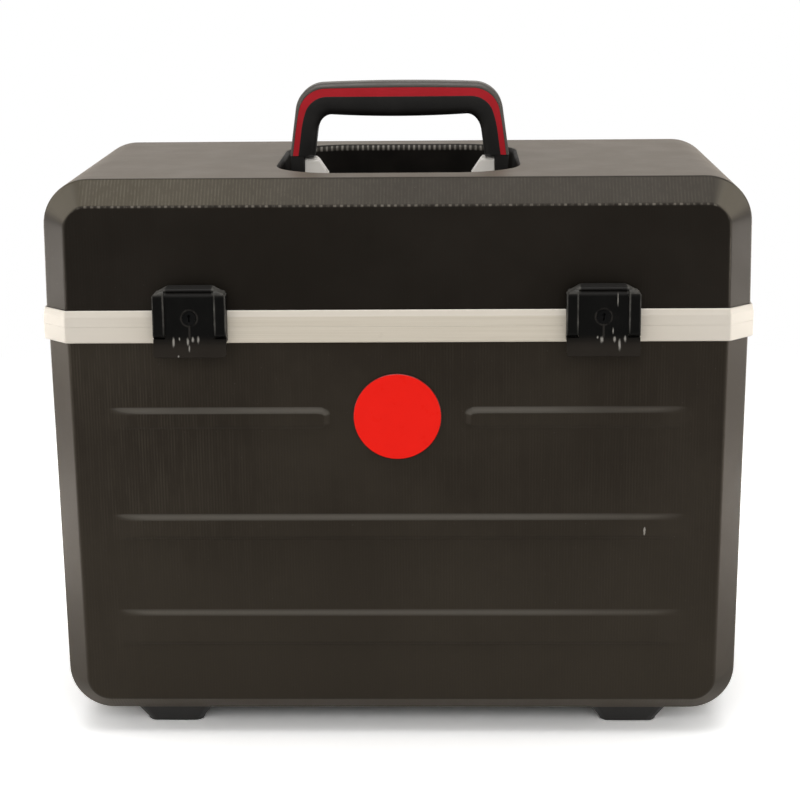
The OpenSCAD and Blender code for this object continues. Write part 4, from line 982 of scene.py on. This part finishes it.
def dress_nodes():
    """Gives every CAD node the material of its slot."""
    for part in frame["record"]["subparts"]:
        mesh = nodes[part["node"]].data
        mesh.materials.clear()
        mesh.materials.append(FINISH[part["material_slot"]])
        mesh.polygons.foreach_set("material_index", [0] * len(mesh.polygons))


dress_nodes()
make_lower_shell()
make_lid_shell(lid_plastic, recess_material())
make_frame("lower_frame_profile", "lower_frame", "base", lower_place,
           edge=ROUND_EDGE, lip=LOWER_LIP, web=2.6, ridge=(0.8, -1.8))
make_frame("lid_frame_profile", "lid_frame", "lid", lid_place,
           edge=SLOPED_EDGE, lip=LID_LIP, web=4.6, ridge=(1.1, 3.3))
make_handle_layer("handle_cap", "handle_frame", "handle_grey", CAP)
make_handle_layer("handle_stripe", "handle_band", "handle_red", STRIPE)
make_handle_layer("handle_inside", "handle_grip", "handle_black", GRIP)
make_heels()

for name in ("latch_housing_left", "latch_housing_right", "latch_lever_left", "latch_lever_right"):
    bevel(nodes[name], 0.35, 3)
for name in ("handle_brackets", "feet", "bottom_tray"):
    bevel(nodes[name], 0.5)
for name in ("front_disc", "key_cylinder_left", "key_cylinder_right", "latch_strikes", "hinge_leaves_lower",
             "hinge_leaves_lid", "latch_claw_left", "latch_claw_right", "long_divider", "cross_dividers"):
    bevel(nodes[name], 0.2)


# Floor, light and background

def light_path_mix(tree, shown, hidden):
    """Shader that the camera, reflections and transmission see as shown, and all other rays as hidden."""
    path = add_node(tree, "LightPath").outputs
    seen = path["Is Camera Ray"]
    for other in ("Is Glossy Ray", "Is Transmission Ray"):
        seen = add_node(tree, "Math", {0: seen, 1: path[other]}, operation="MAXIMUM").outputs[0]
    return add_node(tree, "MixShader", {0: seen, 1: hidden.outputs[0], 2: shown.outputs[0]}).outputs[0]


def make_world():
    """White behind the object, and a dimmer room that lights it."""
    world = bpy.data.worlds.new("studio")
    bpy.context.scene.world = world
    world.use_nodes = True
    tree = world.node_tree
    tree.nodes.clear()
    white = add_node(tree, "Background", {"Color": (1, 1, 1)})
    room = add_node(tree, "Background", {"Color": (1, 0.99, 0.97), "Strength": 0.45})
    add_node(tree, "OutputWorld", {0: light_path_mix(tree, white, room)})


def make_floor():
    """Plain pale floor, which keeps the shadow near the case and fades to the white behind it further out."""
    near_end, far_start = 450, 1300
    corners = [(-15, -15, 0), (15, -15, 0), (15, 15, 0), (-15, 15, 0)]
    mesh = bpy.data.meshes.new("floor")
    mesh.from_pydata(corners, [], [(0, 1, 2, 3)])
    floor = bpy.data.objects.new("floor", mesh)
    bpy.context.scene.collection.objects.link(floor)
    m = Material("floor")
    speck = m.noise(220.0, 3.0, 0.5)
    pale = m.node("BsdfDiffuse", {"Color": m.mix(speck, (0.70, 0.69, 0.68), (0.74, 0.73, 0.72))})
    near = m.node("BsdfDiffuse", {"Color": m.mix(speck, (1.55, 1.55, 1.55), (1.60, 1.60, 1.60))})
    far = m.node("Emission", {"Color": (1, 1, 1), "Strength": 1.0})
    fade = m.rise(m.distance(m.place["X"], m.place["Y"]), near_end, far_start)
    shown = m.node("MixShader", {0: fade, 1: near.outputs[0], 2: far.outputs[0]})
    put(m.tree, m.tree.nodes["Material Output"].inputs[0], light_path_mix(m.tree, shown, pale))
    m.tree.nodes.remove(m.bsdf)
    mesh.materials.append(m.mat)


def soft_box(name, place, aim, size, radiance, colour=(1, 1, 1), glossy=True, diffuse=True):
    """Area lamp of a given brightness: with P watts and A square metres its radiance is P / (pi A)."""
    lamp = bpy.data.lights.new(name, "AREA")
    lamp.shape = "RECTANGLE"
    lamp.size, lamp.size_y = size
    lamp.energy = radiance * math.pi * size[0] * size[1]
    lamp.color = colour
    obj = bpy.data.objects.new(name, lamp)
    bpy.context.scene.collection.objects.link(obj)
    obj.location = place
    obj.rotation_euler = (Vector(aim) - Vector(place)).to_track_quat("-Z", "Y").to_euler()
    obj.visible_camera = False
    obj.visible_glossy = glossy
    obj.visible_diffuse = diffuse


def fill(name, place, size, radiance):
    """Lamp that lights the case but isn't seen in its gloss."""
    soft_box(name, place, MIDDLE, size, radiance, glossy=False)


def card(name, place, size, radiance, colour=(1, 1, 1), aim=MIDDLE):
    """Lamp that is only seen in the gloss."""
    soft_box(name, place, aim, size, radiance, colour, diffuse=False)


make_world()
make_floor()
fill("overhead", (0, 0.1, 2.1), (2.2, 1.8), 1.6)
fill("front_fill", (0.0, -2.4, 1.5), (2.4, 1.2), 2.35)
fill("back_fill", (0.0, 2.4, 1.5), (2.4, 1.2), 1.0)
fill("left_fill", (-2.3, 0.1, 1.1), (1.6, 1.4), 1.2)
fill("right_fill", (2.3, 0.1, 1.1), (1.6, 1.4), 1.2)
for side in (-1, 1):
    card("upper_card", (side * 0.95, -0.42, 0.80), (1.1, 0.8), 4.0, WARM)
card("overhead_card", (0, -0.5, 2.2), (2.4, 1.4), 10.3)
for side, level in ((-1, 0.93), (1, 1.03)):
    for low, high, radiance in ((0.0, 0.06, 21.0), (0.06, 0.20, 0.2), (0.20, 0.34, 11.0)):
        z = (low + high) / 2
        card("side_card", (side * 0.62, -0.05, z), (1.0, high - low), radiance * level, WARM, (0, -0.05, z))
card("back_card", (0, 3.0, 1.0), (5.0, 1.8), 0.3, (1, 0.85, 0.70))

bpy.context.scene.view_settings.view_transform = "Standard"
